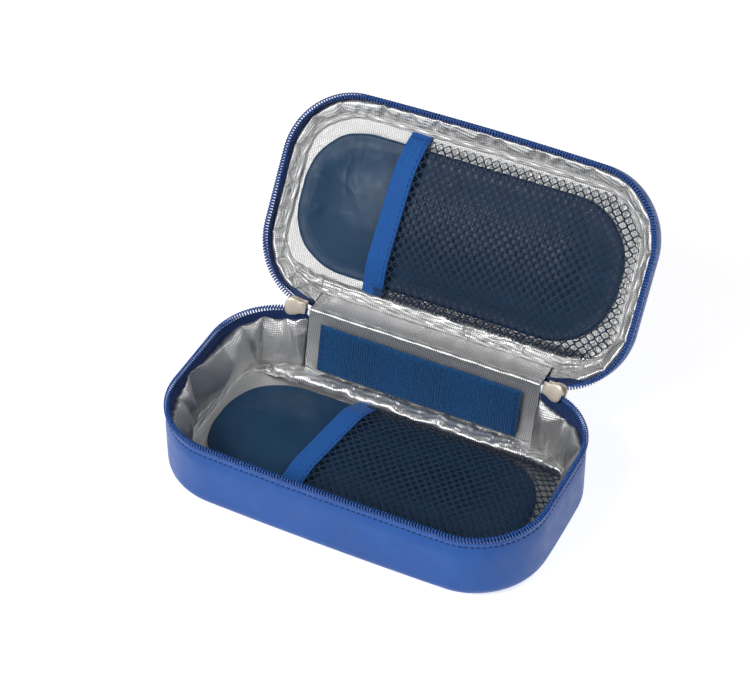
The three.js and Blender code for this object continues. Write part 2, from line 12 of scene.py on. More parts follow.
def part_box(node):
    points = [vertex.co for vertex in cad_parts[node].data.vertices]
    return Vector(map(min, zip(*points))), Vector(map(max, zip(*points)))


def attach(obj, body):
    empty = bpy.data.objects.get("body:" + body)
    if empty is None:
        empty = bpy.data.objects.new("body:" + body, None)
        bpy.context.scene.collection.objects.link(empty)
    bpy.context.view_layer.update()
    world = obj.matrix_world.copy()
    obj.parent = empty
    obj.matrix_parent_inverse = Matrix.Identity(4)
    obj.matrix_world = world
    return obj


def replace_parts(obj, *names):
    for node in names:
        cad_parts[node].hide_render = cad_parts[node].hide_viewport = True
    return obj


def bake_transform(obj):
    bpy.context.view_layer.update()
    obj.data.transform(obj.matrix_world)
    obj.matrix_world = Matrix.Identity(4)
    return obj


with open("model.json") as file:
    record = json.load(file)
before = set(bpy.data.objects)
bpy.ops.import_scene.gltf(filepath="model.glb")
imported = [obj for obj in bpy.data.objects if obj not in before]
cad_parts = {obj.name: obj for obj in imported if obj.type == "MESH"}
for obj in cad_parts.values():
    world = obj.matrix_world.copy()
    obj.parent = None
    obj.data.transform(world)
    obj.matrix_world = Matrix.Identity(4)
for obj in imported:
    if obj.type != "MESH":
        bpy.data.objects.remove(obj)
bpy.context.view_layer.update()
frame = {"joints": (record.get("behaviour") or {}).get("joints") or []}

MM = 0.001
TAU = 2 * math.pi

# Main sizes of the case, from the frame where it holds them
low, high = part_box("base_side_panel")
hinge = next(j for j in frame["joints"] if j["name"] == "lid_hinge")
HALF_LENGTH = high.x / MM
HALF_WIDTH = high.y / MM
HINGE_HEIGHT = hinge["pos_m"][2] / MM
LID_OPENING = math.radians(hinge["range_deg"][1])
LID_DEPTH = 17.0
CORNER_RADIUS = 36.0
FRONT_BOW = -low.y / MM - HALF_WIDTH
HINGE_HALF = HALF_LENGTH - CORNER_RADIUS
SIDE_HALF = HALF_WIDTH - CORNER_RADIUS
CORNER_ARC = CORNER_RADIUS * math.pi / 2
RIM_LENGTH = 4 * CORNER_ARC + 4 * SIDE_HALF + 2 * HINGE_HALF

# Layers of the wall, as insets from the rim and levels below the zip
COVER = 1.0
COVER_START = 3.3
GROOVE = COVER_START + 3.4
FOIL_INSET = 3.0
END_FLOOR_INSET = 6.0
SIDE_FLOOR_INSET = 9.0
LAYER_GAP = 0.3
NET_GAP = 0.3


class Noise:
    """Smooth noise from -1 to 1 over points in millimetres, the same on each run."""

    def __init__(self, seed, count=256):
        draw = np.random.default_rng(seed)
        self.order = draw.permutation(count)
        self.values = draw.uniform(-1, 1, count)

    def __call__(self, points, size):
        cell = np.asarray(points, float) / size
        corner = np.floor(cell).astype(int)
        part = cell - corner
        fade = part * part * (3 - 2 * part)
        total = np.zeros(cell.shape[:-1])
        for step in np.ndindex(2, 2, 2):
            weight, index = 1, 0
            for axis, far in enumerate(step):
                weight = weight * (fade[..., axis] if far else 1 - fade[..., axis])
                index = self.order[(index + corner[..., axis] + far) % len(self.order)]
            total += weight * self.values[index]
        return total


noise = Noise(11)


def crumple(points, size, octaves=3):
    """Sharp creases between soft facets, from 0 to about 1."""
    total, reach, share = 0, 0, 1.0
    for octave in range(octaves):
        total = total + share * np.abs(noise(points, size / 2**octave))
        reach += share
        share *= 0.55
    return total / reach


def ridges(points, size, power=4):
    """Narrow ridges with flat ground between them, from 0 to 1."""
    return (1 - np.abs(noise(points, size))) ** power


def smooth(value, start, end):
    share = np.clip((np.asarray(value, float) - start) / (end - start), 0, 1)
    return share * share * (3 - 2 * share)


def bell(value, middle, width):
    return np.exp(-(((value - middle) / width) ** 2))


def arch(share, power=1.0):
    """Half a sine wave over a share from 0 to 1."""
    return np.sin(np.pi * share) ** power


def spread(*axes):
    """Coordinates stretched to one grid, as its points."""
    return np.stack(np.broadcast_arrays(*axes), -1)


def unit(vectors):
    return vectors / np.linalg.norm(vectors, axis=-1, keepdims=True)


def travelled(*axes):
    """Distance along a path up to each of its points."""
    return np.append(0, np.cumsum(np.sqrt(sum(np.diff(axis) ** 2 for axis in axes))))


def beside(path, inset):
    """x and y some way in from a path, which is given as x, y and the outward normal."""
    x, y, nx, ny = path
    return x - inset * nx, y - inset * ny


# Trays


class Tray:
    """Base or lid: level 0 is the plane of the zip, and levels grow towards the floor."""

    def __init__(self, name, depth, foam, **looks):
        self.name = name
        self.depth = depth
        self.foam = foam
        self.foot = depth - COVER - 2 * LAYER_GAP - foam
        self.rest = self.foot - 2 * LAYER_GAP - NET_GAP
        self.__dict__.update(looks)

    def turn(self, x, y, level):
        """A direction in the tray, turned as the tray is."""
        if self.name == "base":
            return spread(np.asarray(x, float), y, -level)
        cos, sin = math.cos(LID_OPENING), math.sin(LID_OPENING)
        return spread(np.asarray(x, float), y * cos + level * sin, -y * sin + level * cos)

    def place(self, x, y, level):
        if self.name == "base":
            return spread(np.asarray(x, float), y, HINGE_HEIGHT - level)
        along = y - HALF_WIDTH
        cos, sin = math.cos(LID_OPENING), math.sin(LID_OPENING)
        back = HALF_WIDTH + along * cos + level * sin
        return spread(np.asarray(x, float), back, HINGE_HEIGHT - along * sin + level * cos)

    def on(self, path, inset, level):
        return self.place(*beside(path, inset), level)


# What differs between the trays, as a pair for base and lid
LOOKS = {
    "foam": (4.0, 3.5),
    "floor_node": ("base_bottom_panel", "lid_top_panel"),
    "floor_puff": (0.0, 0.8),
    "edge_radius": (6.0, 5.0),
    "cover_bulge": (0.9, 0.5),
    "cover_rows": (16, 6),
    "back_bulge": (1.6, 0.8),
    "zip_start": (0.6, 11.0),
    "tape_width": (12.0, 7.4),
    "foil_start": (9.0, 5.6),
    "pleats": (
        [
            0.5, 12, 25, 38, 84, 99, 121, 142, 165, 190, 216, 244, 268, 290, 312, 334, 352, 373, 386, 402,
            413, 429.7,
        ],
        [
            0.5, 16, 34, 52, 75, 98, 116, 134, 160, 190, 215, 242, 272, 295, 315, 333, 356, 378, 397, 415,
            429.7,
        ],
    ),
    "foil_edge": (
        [4.6, 7, 5.4, 6.6, 4.8, 9.5, 7, 8.5, 8, 8.5, 8, 8.5, 8, 8.5, 8, 8, 7, 8.5, 7, 7.5, 10.2, 6.5],
        [5.6] * 21,
    ),
    "wall_rows": (22, 12),
    "wall_puff": (0.2, 1.0),
    "wall_swell": (1.0, 0.3),
    "wall_sag": (1.2, 0.0),
    "wall_surplus": (0.02, 0.03),
    "wall_relief": ((0.35, 0.1, 0.5), (0.25, 0.35, 0.3)),
    # how strongly painted shade darkens the wall foil's facets
    "wall_shade": (1.0, 0.25),
    "facets": (3.6, 0.5),
    "diagonals": (2.0, 0.25),
    "crushed": (4.0, 0.0),
    "floor_ripple": (0.3, 0.15),
    "roll_width": ((4.4, 12.2), (4.0, 8.4)),
    "roll_height": ((2.4, 1.4), (1.9, 1.2)),
    "roll_lift": (2.1, 0.7),
    "back_rows": (34, 16),
    "back_relief": (0.9, 0.35),
    "pack_half": ((85.5, 36.7), (87.8, 37.5)),
    "pack_centre": ((-1.4, -2.9), (-2.0, -1.8)),
    "held_down": (5.5, 2.0),
    "hem_middle": (33.0, 38.0),
    "band_middle": (-24.4, -35.4),
    "band_skew": (0.11, -0.05),
    "slices": (
        {"weld": 3, "pack": 40, "net": 7, "hem": 60, "band": 90, "back": 33},
        {"weld": 8, "pack": 80, "net": 17, "hem": 70, "band": 95, "back": 53},
    ),
}
base, lid = TRAYS = [
    Tray(name, depth, **{key: pair[number] for key, pair in LOOKS.items()})
    for number, (name, depth) in enumerate((("base", HINGE_HEIGHT), ("lid", LID_DEPTH)))
]


def rim(distance):
    """The rim's x, y and outward normal, a distance along it from the fold's left end."""
    centres = [(sx * HINGE_HALF, sy * SIDE_HALF) for sx, sy in ((-1, 1), (-1, -1), (1, -1), (1, 1))]
    knots, turns, stops = [0.0], [math.pi / 2], [centres[0]]
    for centre, following in zip(centres, centres[1:] + [None]):
        knots.append(knots[-1] + CORNER_ARC)
        turns.append(turns[-1] + math.pi / 2)
        stops.append(centre)
        if following:
            knots.append(knots[-1] + math.dist(centre, following))
            turns.append(turns[-1])
            stops.append(following)
    turn = np.interp(distance, knots, turns)
    nx, ny = np.cos(turn), np.sin(turn)
    xs, ys = zip(*stops)
    x = np.interp(distance, knots, xs) + CORNER_RADIUS * nx
    y = np.interp(distance, knots, ys) + CORNER_RADIUS * ny
    forward = np.clip(-y / HALF_WIDTH, 0, 1)
    return x, y - FRONT_BOW * forward * (1 - (x / HALF_LENGTH) ** 2), nx, ny


def to_fold(distance):
    """How far a place on the rim lies from the nearer end of the fold."""
    return np.minimum(distance, RIM_LENGTH - distance)


def back_line(x):
    return x, np.full(x.shape, HALF_WIDTH), np.zeros(x.shape), np.ones(x.shape)


def around_fold(x, reach, degrees):
    """A row of points round the fold's axis."""
    angle = math.radians(degrees)
    return spread(x, HALF_WIDTH + reach * np.cos(angle), HINGE_HEIGHT + reach * np.sin(angle))


def floor_inset(path):
    return END_FLOOR_INSET * path[2] ** 2 + SIDE_FLOOR_INSET * path[3] ** 2


def inside_cover(tray, level):
    """Inset of the cover's inner face at a level, round the bottom edge too."""
    radius = tray.edge_radius - COVER - LAYER_GAP
    below = np.maximum(0, level - tray.depth + tray.edge_radius)
    return tray.edge_radius - np.sqrt(np.maximum(0, radius**2 - below**2))


# Meshes


def grid_faces(rows, cols, around=False, first=0):
    """Quads of a grid of points, stored row by row."""
    row, col = np.meshgrid(np.arange(rows - 1), np.arange(cols if around else cols - 1), indexing="ij")
    a, b = row * cols + col, row * cols + (col + 1) % cols
    return np.stack([a, b, b + cols, a + cols], -1).reshape(-1, 4) + first


def add_mesh(name, points, faces, material, cloth=None):
    """A mesh object from points in millimetres, with cloth coordinates in millimetres for its weave; on foil
    pieces the third coordinate carries painted shade.
    """
    mesh = bpy.data.meshes.new(name)
    mesh.from_pydata((points.reshape(-1, 3) * MM).tolist(), [], [list(map(int, f)) for f in faces])
    if cloth is not None:
        flat = np.zeros((len(mesh.vertices), 3), np.float32)
        flat[:, : cloth.shape[-1]] = cloth.reshape(-1, cloth.shape[-1])
        mesh.attributes.new("cloth", "FLOAT_VECTOR", "POINT").data.foreach_set("vector", flat.ravel())
    mesh.validate()
    work = bmesh.new()
    work.from_mesh(mesh)
    bmesh.ops.recalc_face_normals(work, faces=work.faces)
    work.to_mesh(mesh)
    work.free()
    mesh.shade_smooth()
    mesh.materials.append(material)
    obj = bpy.data.objects.new(name, mesh)
    bpy.context.scene.collection.objects.link(obj)
    return obj


def add_sheet(name, front, back, material, cloth):
    """A closed pad between two grids of points."""
    rows, cols = front.shape[:2]
    count = rows * cols
    border = np.concatenate(
        [
            np.arange(cols),
            np.arange(1, rows) * cols + cols - 1,
            (rows - 1) * cols + np.arange(cols - 2, -1, -1),
            np.arange(rows - 2, 0, -1) * cols,
        ]
    )
    after = np.roll(border, -1)
    walls = np.stack([border, border + count, after + count, after], -1)
    faces = [grid_faces(rows, cols), grid_faces(rows, cols, first=count)[:, ::-1], walls]
    return add_mesh(name, np.stack([front, back]), np.concatenate(faces), material, np.stack([cloth] * 2))


def closed_rings(front, back):
    """Points and faces of a closed pad between two stacks of rings that shrink towards a middle."""
    rows, cols = front.shape[:2]
    count = rows * cols
    edge = np.arange(cols)
    after = np.roll(edge, -1)
    walls = np.stack([edge, after, after + count, edge + count], -1)
    halves = [grid_faces(rows, cols, around=True), grid_faces(rows, cols, around=True, first=count)[:, ::-1]]
    caps = [[count - cols + i for i in range(cols)], [2 * count - 1 - i for i in range(cols)]]
    return np.stack([front, back]).reshape(-1, 3), np.concatenate([*halves, walls]).tolist() + caps


def closed_bar(sections, around=True):
    """Points and faces of a bar with a closed section: stations by section points."""
    stations, count = sections.shape[:2]
    row, col = np.divmod(grid_faces(count + 1, stations + 1), stations + 1)
    if around:
        ends = []
        col = col % stations
    else:
        ends = [list(range(count)), [(stations - 1) * count + i for i in range(count)][::-1]]
        keep = (col < stations).all(1)
        row, col = row[keep], col[keep]
    return sections.reshape(-1, 3), (col * count + row % count).tolist() + ends


def ringed_plate(tray, outline, front, back, shares):
    """A closed plate whose rings shrink from an outline towards its middle."""
    middle = [float(axis.mean()) for axis in outline]
    x, y = (m + (axis - m) * shares[:, None] for m, axis in zip(middle, outline))
    return closed_rings(tray.place(x, y, front(x, y)), tray.place(x, y, back(x, y)))


def path_frames(points, up):
    """Unit vectors along, across and over a path of points."""
    along = unit(np.gradient(points, axis=0))
    across = unit(np.cross(along, up))
    return along, across, np.cross(across, along)


def rings_about(across, over, sides, flat=1.0):
    turn = (TAU * np.arange(sides) / sides)[None, :, None]
    return np.cos(turn) * across[:, None] + flat * np.sin(turn) * over[:, None]


def tube(points, up, radius, sides, flat=1.0):
    """Sections of a round or flattened tube along a path."""
    _, across, over = path_frames(points, up)
    return points[:, None] + radius * rings_about(across, over, sides, flat)


# Stitches: share of the length, lift and thickness at each ring, then length, gap and radius of each kind
STITCH_RINGS = ((-0.5, -0.3, 0.35), (-0.3, 0.05, 0.9), (0.0, 0.14, 1.0), (0.3, 0.05, 0.9), (0.5, -0.3, 0.35))
STITCH_SIDES = 6
COVER_STITCH = (2.1, 0.75, 0.24)
TAPE_STITCH = (1.7, 0.6, 0.17)
BAND_STITCH = (2.3, 0.9, 0.2)
END_STITCH = (1.9, 0.6, 0.2)
STRIP_STITCH = (1.9, 0.7, 0.2)


def add_stitches(name, points, up, kind, body):
    """A row of short stitches along a path of points, sunk at their ends."""
    length, gap, radius = kind
    travel = travelled(*points.T)
    count = int(travel[-1] // (length + gap))
    centres = (np.arange(count) + 0.5) * travel[-1] / count
    frames = (points, *path_frames(points, np.broadcast_to(up, points.shape)))
    origin, along, across, over = (
        np.stack([np.interp(centres, travel, values[:, i]) for i in range(3)], -1) for values in frames
    )
    ring = rings_about(across, over, STITCH_SIDES)
    rings = [
        (origin + along * share * length + over * lift)[:, None] + ring * radius * thick
        for share, lift, thick in STITCH_RINGS
    ]
    block = len(STITCH_RINGS) * STITCH_SIDES
    one = grid_faces(len(STITCH_RINGS), STITCH_SIDES, around=True)
    faces = [list(f) for k in range(count) for f in (one + k * block)]
    for k in range(count):
        faces.append([k * block + i for i in range(STITCH_SIDES)])
        faces.append([k * block + block - 1 - i for i in range(STITCH_SIDES)])
    obj = add_mesh(name, np.stack(rings, 1), faces, DARK_THREAD)
    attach(obj, body)


# Materials


class Nodes:
    """Short calls for the nodes of a tree."""

    def __init__(self, owner):
        owner.use_nodes = True
        self.tree = owner.node_tree

    def put(self, target, value):
        if isinstance(value, bpy.types.NodeSocket):
            self.tree.links.new(value, target)
        else:
            target.default_value = value

    def set(self, node, **values):
        for key, value in values.items():
            self.put(node.inputs[key.replace("_", " ")], value)
        return node

    def add(self, kind, **values):
        return self.set(self.tree.nodes.new("ShaderNode" + kind), **values)

    def math(self, operation, *values):
        node = self.add("Math")
        node.operation = operation
        for target, value in zip(node.inputs, values):
            self.put(target, value)
        return node.outputs[0]

    def ramp(self, value, start, end, low_value=0.0, high_value=1.0, kind="LINEAR"):
        node = self.add("MapRange", Value=value, From_Min=start, From_Max=end)
        self.set(node, To_Min=low_value, To_Max=high_value)
        node.interpolation_type = kind
        return node.outputs[0]


class Shader(Nodes):
    """A Principled material."""

    def __init__(self, name, color, roughness, metallic=0.0, **sockets):
        self.material = bpy.data.materials.new(name)
        super().__init__(self.material)
        self.shader = self.tree.nodes["Principled BSDF"]
        self.set(self.shader, Base_Color=(*color, 1), Roughness=roughness, Metallic=metallic, **sockets)
        self.material.diffuse_color = (*color, 1)
        self.color = color
        self.normal = None

    def cloth(self, turn=0.0):
        """The piece's own cloth coordinates, in millimetres."""
        source = self.add("Attribute")
        source.attribute_name = "cloth"
        return self.add("Mapping", Vector=source.outputs["Vector"], Rotation=(0, 0, turn)).outputs["Vector"]

    def place(self):
        """The place on the object, in millimetres."""
        source = self.add("TexCoord")
        return self.add("Mapping", Vector=source.outputs["Object"], Scale=(1 / MM,) * 3).outputs["Vector"]

    def noise(self, vector, size, detail=2.0):
        return self.add("TexNoise", Vector=vector, Scale=1 / size, Detail=detail, Roughness=0.5).outputs[0]

    def waves(self, vector, pitch, axis):
        """Sine ridges across one cloth axis, from -1 to 1."""
        split = self.add("SeparateXYZ", Vector=vector)
        return self.math("SINE", self.math("MULTIPLY", split.outputs[axis], TAU / pitch))

    def bump(self, height, depth, strength=1.0):
        """Adds relief: height 1 stands depth millimetres proud."""
        node = self.add("Bump", Height=height, Distance=depth * MM, Strength=strength)
        if self.normal is not None:
            self.set(node, Normal=self.normal)
        self.normal = node.outputs["Normal"]
        self.set(self.shader, Normal=self.normal)

    def tint(self, factor, other):
        """Mixes the base colour with another one."""
        node = self.add("Mix")
        node.data_type = "RGBA"
        for target, value in ((0, factor), (6, (*self.color, 1)), (7, (*other, 1))):
            self.put(node.inputs[target], value)
        self.set(self.shader, Base_Color=node.outputs[2])

    def worn(self, vector, size, smoothest, roughest):
        """Varies the roughness over patches."""
        self.set(self.shader, Roughness=self.ramp(self.noise(vector, size, 3), 0.3, 0.7, smoothest, roughest))


def leather():
    gloss = {"Specular_IOR_Level": 0.4, "Coat_Weight": 0.08, "Coat_Roughness": 0.3}
    s = Shader("cover_leather", (0.01, 0.115, 0.48), 0.4, **gloss)
    place = s.place()
    s.tint(s.ramp(s.noise(place, 22, 3), 0.35, 0.7), (0.008, 0.098, 0.42))
    grain_size = 0.55
    s.bump(s.add("TexVoronoi", Vector=place, Scale=1 / grain_size).outputs["Distance"], 0.035)
    s.bump(s.noise(place, 0.5, 3), 0.03)
    s.bump(s.noise(place, 9), 0.35, 0.6)
    s.bump(s.noise(place, 26), 1.3, 0.5)
    s.worn(place, 6, 0.37, 0.5)
    return s.material


def foil():
    """Silver film laminated on a fine woven ground, whose knurl shows through it, with painted shade in the
    knurl's troughs and on facets and seams.
    """
    s = Shader("foil_lining", (0.88, 0.88, 0.87), 0.3, 0.76)
    knurl_pitch, knurl_turn = 1.5, math.radians(40)
    weave = s.cloth(knurl_turn)
    # the third cloth coordinate holds painted shade for the wall facets and the roll's seams
    painted_shade = s.add("SeparateXYZ", Vector=weave).outputs[2]
    knurl = s.math("MULTIPLY", s.waves(weave, knurl_pitch, 0), s.waves(weave, knurl_pitch, 1))
    place = s.place()
    s.bump(s.noise(place, 7), 0.16, 0.6)
    s.bump(knurl, 0.075)
    # painted shade: the knurl's troughs and the painted shade channel mix the silver towards dark grey
    s.tint(s.math("MAXIMUM", s.ramp(knurl, 0.1, -0.8), painted_shade), (0.4, 0.4, 0.41))
    s.worn(place, 3, 0.28, 0.4)
    return s.material


def woven(name, color, other, pitch_across, pitch_along, depth, roughness, sheen=0.3):
    """Woven tape: rows along and across, with single threads of another shade."""
    s = Shader(name, color, roughness, Sheen_Weight=sheen, Sheen_Roughness=0.4)
    cloth = s.cloth()
    across = s.waves(cloth, pitch_across, 1)
    crossed = s.math("MULTIPLY", across, s.waves(cloth, pitch_along, 0))
    s.bump(s.math("MULTIPLY_ADD", crossed, 0.5, across), depth)
    s.bump(s.noise(cloth, 0.35), depth * 0.6)
    s.tint(s.ramp(s.noise(cloth, 1.1, 4), 0.3, 0.7), other)
    return s.material


def nylon():
    s = Shader("zip_nylon", (0.018, 0.095, 0.4), 0.22, Coat_Weight=0.3, Coat_Roughness=0.2)
    s.tint(s.noise(s.place(), 0.8), (0.026, 0.13, 0.48))
    s.bump(s.noise(s.place(), 0.4), 0.02)
    return s.material


def thread(name, color):
    s = Shader(name, color, 0.6, Sheen_Weight=0.08, Specular_IOR_Level=0.4)
    s.tint(s.noise(s.place(), 0.6), tuple(0.6 * c for c in color))
    s.bump(s.noise(s.place(), 0.25, 1), 0.04)
    return s.material


def film():
    gloss = {"Specular_IOR_Level": 0.35, "Coat_Weight": 0.06, "Coat_Roughness": 0.3}
    s = Shader("pack_film", (0.018, 0.066, 0.145), 0.5, **gloss)
    place = s.place()
    s.bump(s.noise(place, 9, 3), 0.3, 0.7)
    s.bump(s.noise(place, 0.7), 0.012)
    s.tint(s.ramp(s.noise(place, 18), 0.35, 0.7), (0.013, 0.052, 0.118))
    s.worn(place, 5, 0.42, 0.56)
    return s.material


def metal():
    s = Shader("slider_metal", (0.82, 0.73, 0.62), 0.46, 0.4)
    place = s.place()
    s.bump(s.noise(place, 0.3, 3), 0.012)
    s.tint(s.ramp(s.noise(place, 2.5, 3), 0.3, 0.75), (0.72, 0.64, 0.54))
    s.worn(place, 1.2, 0.38, 0.5)
    return s.material


LEATHER = leather()
FOIL = foil()
TAPE = woven("zip_tape", (0.006, 0.048, 0.21), (0.004, 0.028, 0.13), 0.9, 0.6, 0.05, 0.75, 0.1)
ELASTIC = woven("elastic_band", (0.012, 0.15, 0.55), (0.008, 0.11, 0.43), 1.25, 0.55, 0.09, 0.75, 0.12)
LOOP = woven("loop_pile", (0.006, 0.12, 0.34), (0.003, 0.04, 0.14), 1.35, 0.9, 0.12, 0.9, 0.25)
NET = thread("net_thread", (0.018, 0.042, 0.095))
HEM = woven("net_hem", (0.016, 0.036, 0.085), (0.01, 0.024, 0.055), 0.8, 0.6, 0.06, 0.75)
NYLON = nylon()
DARK_THREAD = thread("sewing_thread", (0.012, 0.045, 0.2))
FILM = film()
METAL = metal()


# Camera and studio, in metres but for the camera's distances

CAMERA_AZIMUTH = math.radians(26.602)
CAMERA_ELEVATION = math.radians(41.95)
CAMERA_ROLL = math.radians(-0.15)
CAMERA_DISTANCE = 1147.3
CAMERA_AIM_HEIGHT = 30.0
CAMERA_AIM_RIGHT = 0.17
CAMERA_AIM_UP = 42.3
FOCAL_PIXELS = 2357.5
PHOTO_WIDTH = 750
SENSOR_WIDTH = 36.0
WORLD_BACK = 0.42
WORLD_FRONT = 0.78
FLOOR_COLOR = (0.93, 0.93, 0.94, 1)
FLOOR_GLOW = 0.72
FLOOR_HALF = 3.0
FLOOR_LEVEL = -0.0004
LAMP_AIM = (0, 0.03, 0.05)
LAMPS = {
    "key": ((-0.5, -1.0, 1.05), 0.6, 12.5),
    "fill": ((0.95, -0.75, 0.6), 0.7, 2.6),
    "rim": ((-1.2, 0.2, 0.8), 0.7, 1.2),
    "inside": ((0.75, 0.35, 1.15), 0.5, 3.8),
}


def add_camera():
    cos, sin = math.cos(CAMERA_AZIMUTH), math.sin(CAMERA_AZIMUTH)
    flat = math.cos(CAMERA_ELEVATION)
    back = Vector((sin * flat, -cos * flat, math.sin(CAMERA_ELEVATION)))
    level = Vector((cos, sin, 0))
    above = back.cross(level)
    right = level * math.cos(CAMERA_ROLL) + above * math.sin(CAMERA_ROLL)
    up = above * math.cos(CAMERA_ROLL) - level * math.sin(CAMERA_ROLL)
    aim = Vector((0, 0, CAMERA_AIM_HEIGHT)) + right * CAMERA_AIM_RIGHT + up * CAMERA_AIM_UP
    data = bpy.data.cameras.new("camera")
    data.sensor_width = SENSOR_WIDTH
    data.lens = FOCAL_PIXELS / PHOTO_WIDTH * SENSOR_WIDTH
    data.clip_start = 0.05
    data.clip_end = 20
    camera = bpy.data.objects.new("camera", data)
    bpy.context.scene.collection.objects.link(camera)
    turn = Matrix((right, up, back)).transposed().to_4x4()
    camera.matrix_world = Matrix.Translation((aim + back * CAMERA_DISTANCE) * MM) @ turn
    bpy.context.scene.camera = camera


def add_lamp(name, place, size, power):
    data = bpy.data.lights.new(name, "AREA")
    data.shape = "RECTANGLE"
    data.size = data.size_y = size
    data.energy = power
    lamp = bpy.data.objects.new(name, data)
    bpy.context.scene.collection.objects.link(lamp)
    lamp.location = place
    lamp.rotation_euler = (Vector(LAMP_AIM) - Vector(place)).to_track_quat("-Z", "Y").to_euler()


def seen(nodes):
    """1 for rays that come from the camera or from gloss and glass, else 0."""
    path = nodes.add("LightPath").outputs
    straight = nodes.math("MAXIMUM", path["Is Camera Ray"], path["Is Glossy Ray"])
    return nodes.math("MAXIMUM", straight, path["Is Transmission Ray"])


def add_studio():
    scene = bpy.context.scene
    scene.view_settings.view_transform = "Standard"
    scene.world = bpy.data.worlds.new("studio")
    sky = Nodes(scene.world)
    split = sky.add("SeparateXYZ", Vector=sky.add("TexCoord").outputs["Generated"])
    light = sky.ramp(split.outputs["Y"], 0.75, -0.5, WORLD_BACK, WORLD_FRONT, "SMOOTHSTEP")
    sky.set(sky.tree.nodes["Background"], Strength=sky.ramp(seen(sky), 0.0, 1.0, light, 1.0))

    bpy.ops.mesh.primitive_plane_add(size=2 * FLOOR_HALF, location=(0, 0, FLOOR_LEVEL))
    floor = bpy.context.object
    floor.name = "studio_floor"
    material = bpy.data.materials.new("studio_floor")
    paint = Nodes(material)
    reach = paint.add("VectorMath")
    reach.operation = "LENGTH"
    paint.put(reach.inputs[0], paint.add("TexCoord").outputs["Object"])
    glow = paint.ramp(reach.outputs["Value"], 0.5, 1.8, FLOOR_GLOW, 1.0, "SMOOTHSTEP")
    shader = paint.tree.nodes["Principled BSDF"]
    paint.set(shader, Base_Color=FLOOR_COLOR, Roughness=0.7, Emission_Color=(1, 1, 1, 1))
    paint.set(shader, Emission_Strength=paint.math("MULTIPLY", seen(paint), glow))
    floor.data.materials.append(material)
    for name, (place, size, power) in LAMPS.items():
        add_lamp(name, place, size, power)


add_camera()
add_studio()


# Outer cover

SEAM_GAP = 0.15
GROOVE_DEPTH = 0.32
GROOVE_WIDTH = 0.75
GROOVE_STEPS = (-0.9, -0.4, 0, 0.4, 0.9, 1.8)
COVER_LIP = ((COVER + 0.1, 0.7), (COVER - 0.15, 0.15), (COVER / 2, 0), (0.12, 0.2), (0, 0.9), (0, 1.8))


def cover_profile(tray):
    """The cover's outer line as insets and levels, from its folded lip to the bottom edge."""
    radius, side_end = tray.edge_radius, tray.depth - tray.edge_radius
    levels = [GROOVE + step for step in GROOVE_STEPS]
    levels += list(np.linspace(GROOVE + 3, side_end, 16))[: tray.cover_rows]
    points = [(inset, COVER_START + level) for inset, level in COVER_LIP]
    points += [(0, level) for level in levels if level <= side_end]
    for turn in np.linspace(0, math.pi / 2, 9)[1:]:
        points.append((radius - radius * math.cos(turn), side_end + radius * math.sin(turn)))
    return np.array(points).T


def edge_dip(tray, distance):
    """How far the cover's edge bows away from the zip where the slider parks, at rest and when shut."""
    nearest = to_fold(distance)
    if tray is base:
        return 1.1 * (1 - smooth(nearest, 62, 84))
    return np.maximum(4.5 * (1 - smooth(nearest, 14, 32)), 1.8 * (1 - smooth(nearest, 62, 84)))


def add_side_cover(tray):
    distance = np.linspace(SEAM_GAP, RIM_LENGTH - SEAM_GAP, 300)
    path = rim(distance)
    place = rim(distance[:, None])
    inset, level = cover_profile(tray)
    radius, depth = tray.edge_radius, tray.depth
    height = smooth(level, GROOVE, GROOVE + 6) * (1 - smooth(level, depth - 7, depth))
    flat = tray.on(place, inset, level)
    wave = noise(flat * (1, 1, 0.6), 34) * 0.55 + noise(flat, 13) * 0.16
    groove = GROOVE_DEPTH * bell(level, GROOVE, GROOVE_WIDTH)
    proud = tray.cover_bulge * height * (0.75 + 0.5 * wave) + 0.5 * wave * height - groove
    calm = smooth(to_fold(distance), 4, 40)[:, None]
    edge = smooth(level, depth - radius, depth)
    proud = (calm * proud - (1 - calm) * 0.15) * (1 - edge)
    dip = edge_dip(tray, distance)[:, None] * (1 - smooth(level, COVER_START, GROOVE + 4))
    outer = tray.on(place, inset - proud, level + dip)
    turn = np.arcsin(np.clip((level - depth + radius) / radius, 0, 1))
    bend, small = level > depth - radius, radius - COVER
    inner_inset = np.where(bend, radius - small * np.cos(turn), COVER)
    inner_level = np.where(bend, depth - radius + small * np.sin(turn), level)
    inner = tray.on(place, inner_inset - proud * 0.6, inner_level + dip)
    inner[:, :3] = outer[:, :3] * 0.5 + inner[:, :3] * 0.5
    run = travelled(inset, level)
    obj = add_sheet(f"{tray.name}_side_cover", outer, inner, LEATHER, spread(distance[:, None], run))
    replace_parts(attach(obj, tray.name), f"{tray.name}_side_panel")
    seam = tray.on(path, 0.14, GROOVE + edge_dip(tray, distance) * 0.75)
    out = tray.turn(path[2], path[3], 0)
    add_stitches(f"{tray.name}_rim_stitching", seam, out, COVER_STITCH, tray.name)


def add_floor_cover(tray):
    path = rim(np.linspace(0, RIM_LENGTH, 180, endpoint=False))
    x, y = outline = beside(path, tray.edge_radius - 0.2)

    def outer(x, y):
        inside = np.clip(1 - (x / HALF_LENGTH) ** 2, 0, 1) * np.clip(1 - (y / HALF_WIDTH) ** 2, 0, 1)
        return tray.depth + tray.floor_puff * inside * (1 + 0.5 * noise(spread(x, y, 0), 30))

    shares = np.concatenate([[1, 0.992, 0.97], np.linspace(0.93, 0.05, 16)])
    points, faces = ringed_plate(tray, outline, outer, lambda x, y: outer(x, y) - COVER, shares)
    obj = add_mesh(tray.floor_node + "_skin", points, faces, LEATHER)
    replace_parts(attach(obj, tray.name), tray.floor_node)


for tray in TRAYS:
    add_side_cover(tray)
for tray in TRAYS:
    add_floor_cover(tray)


# Zip

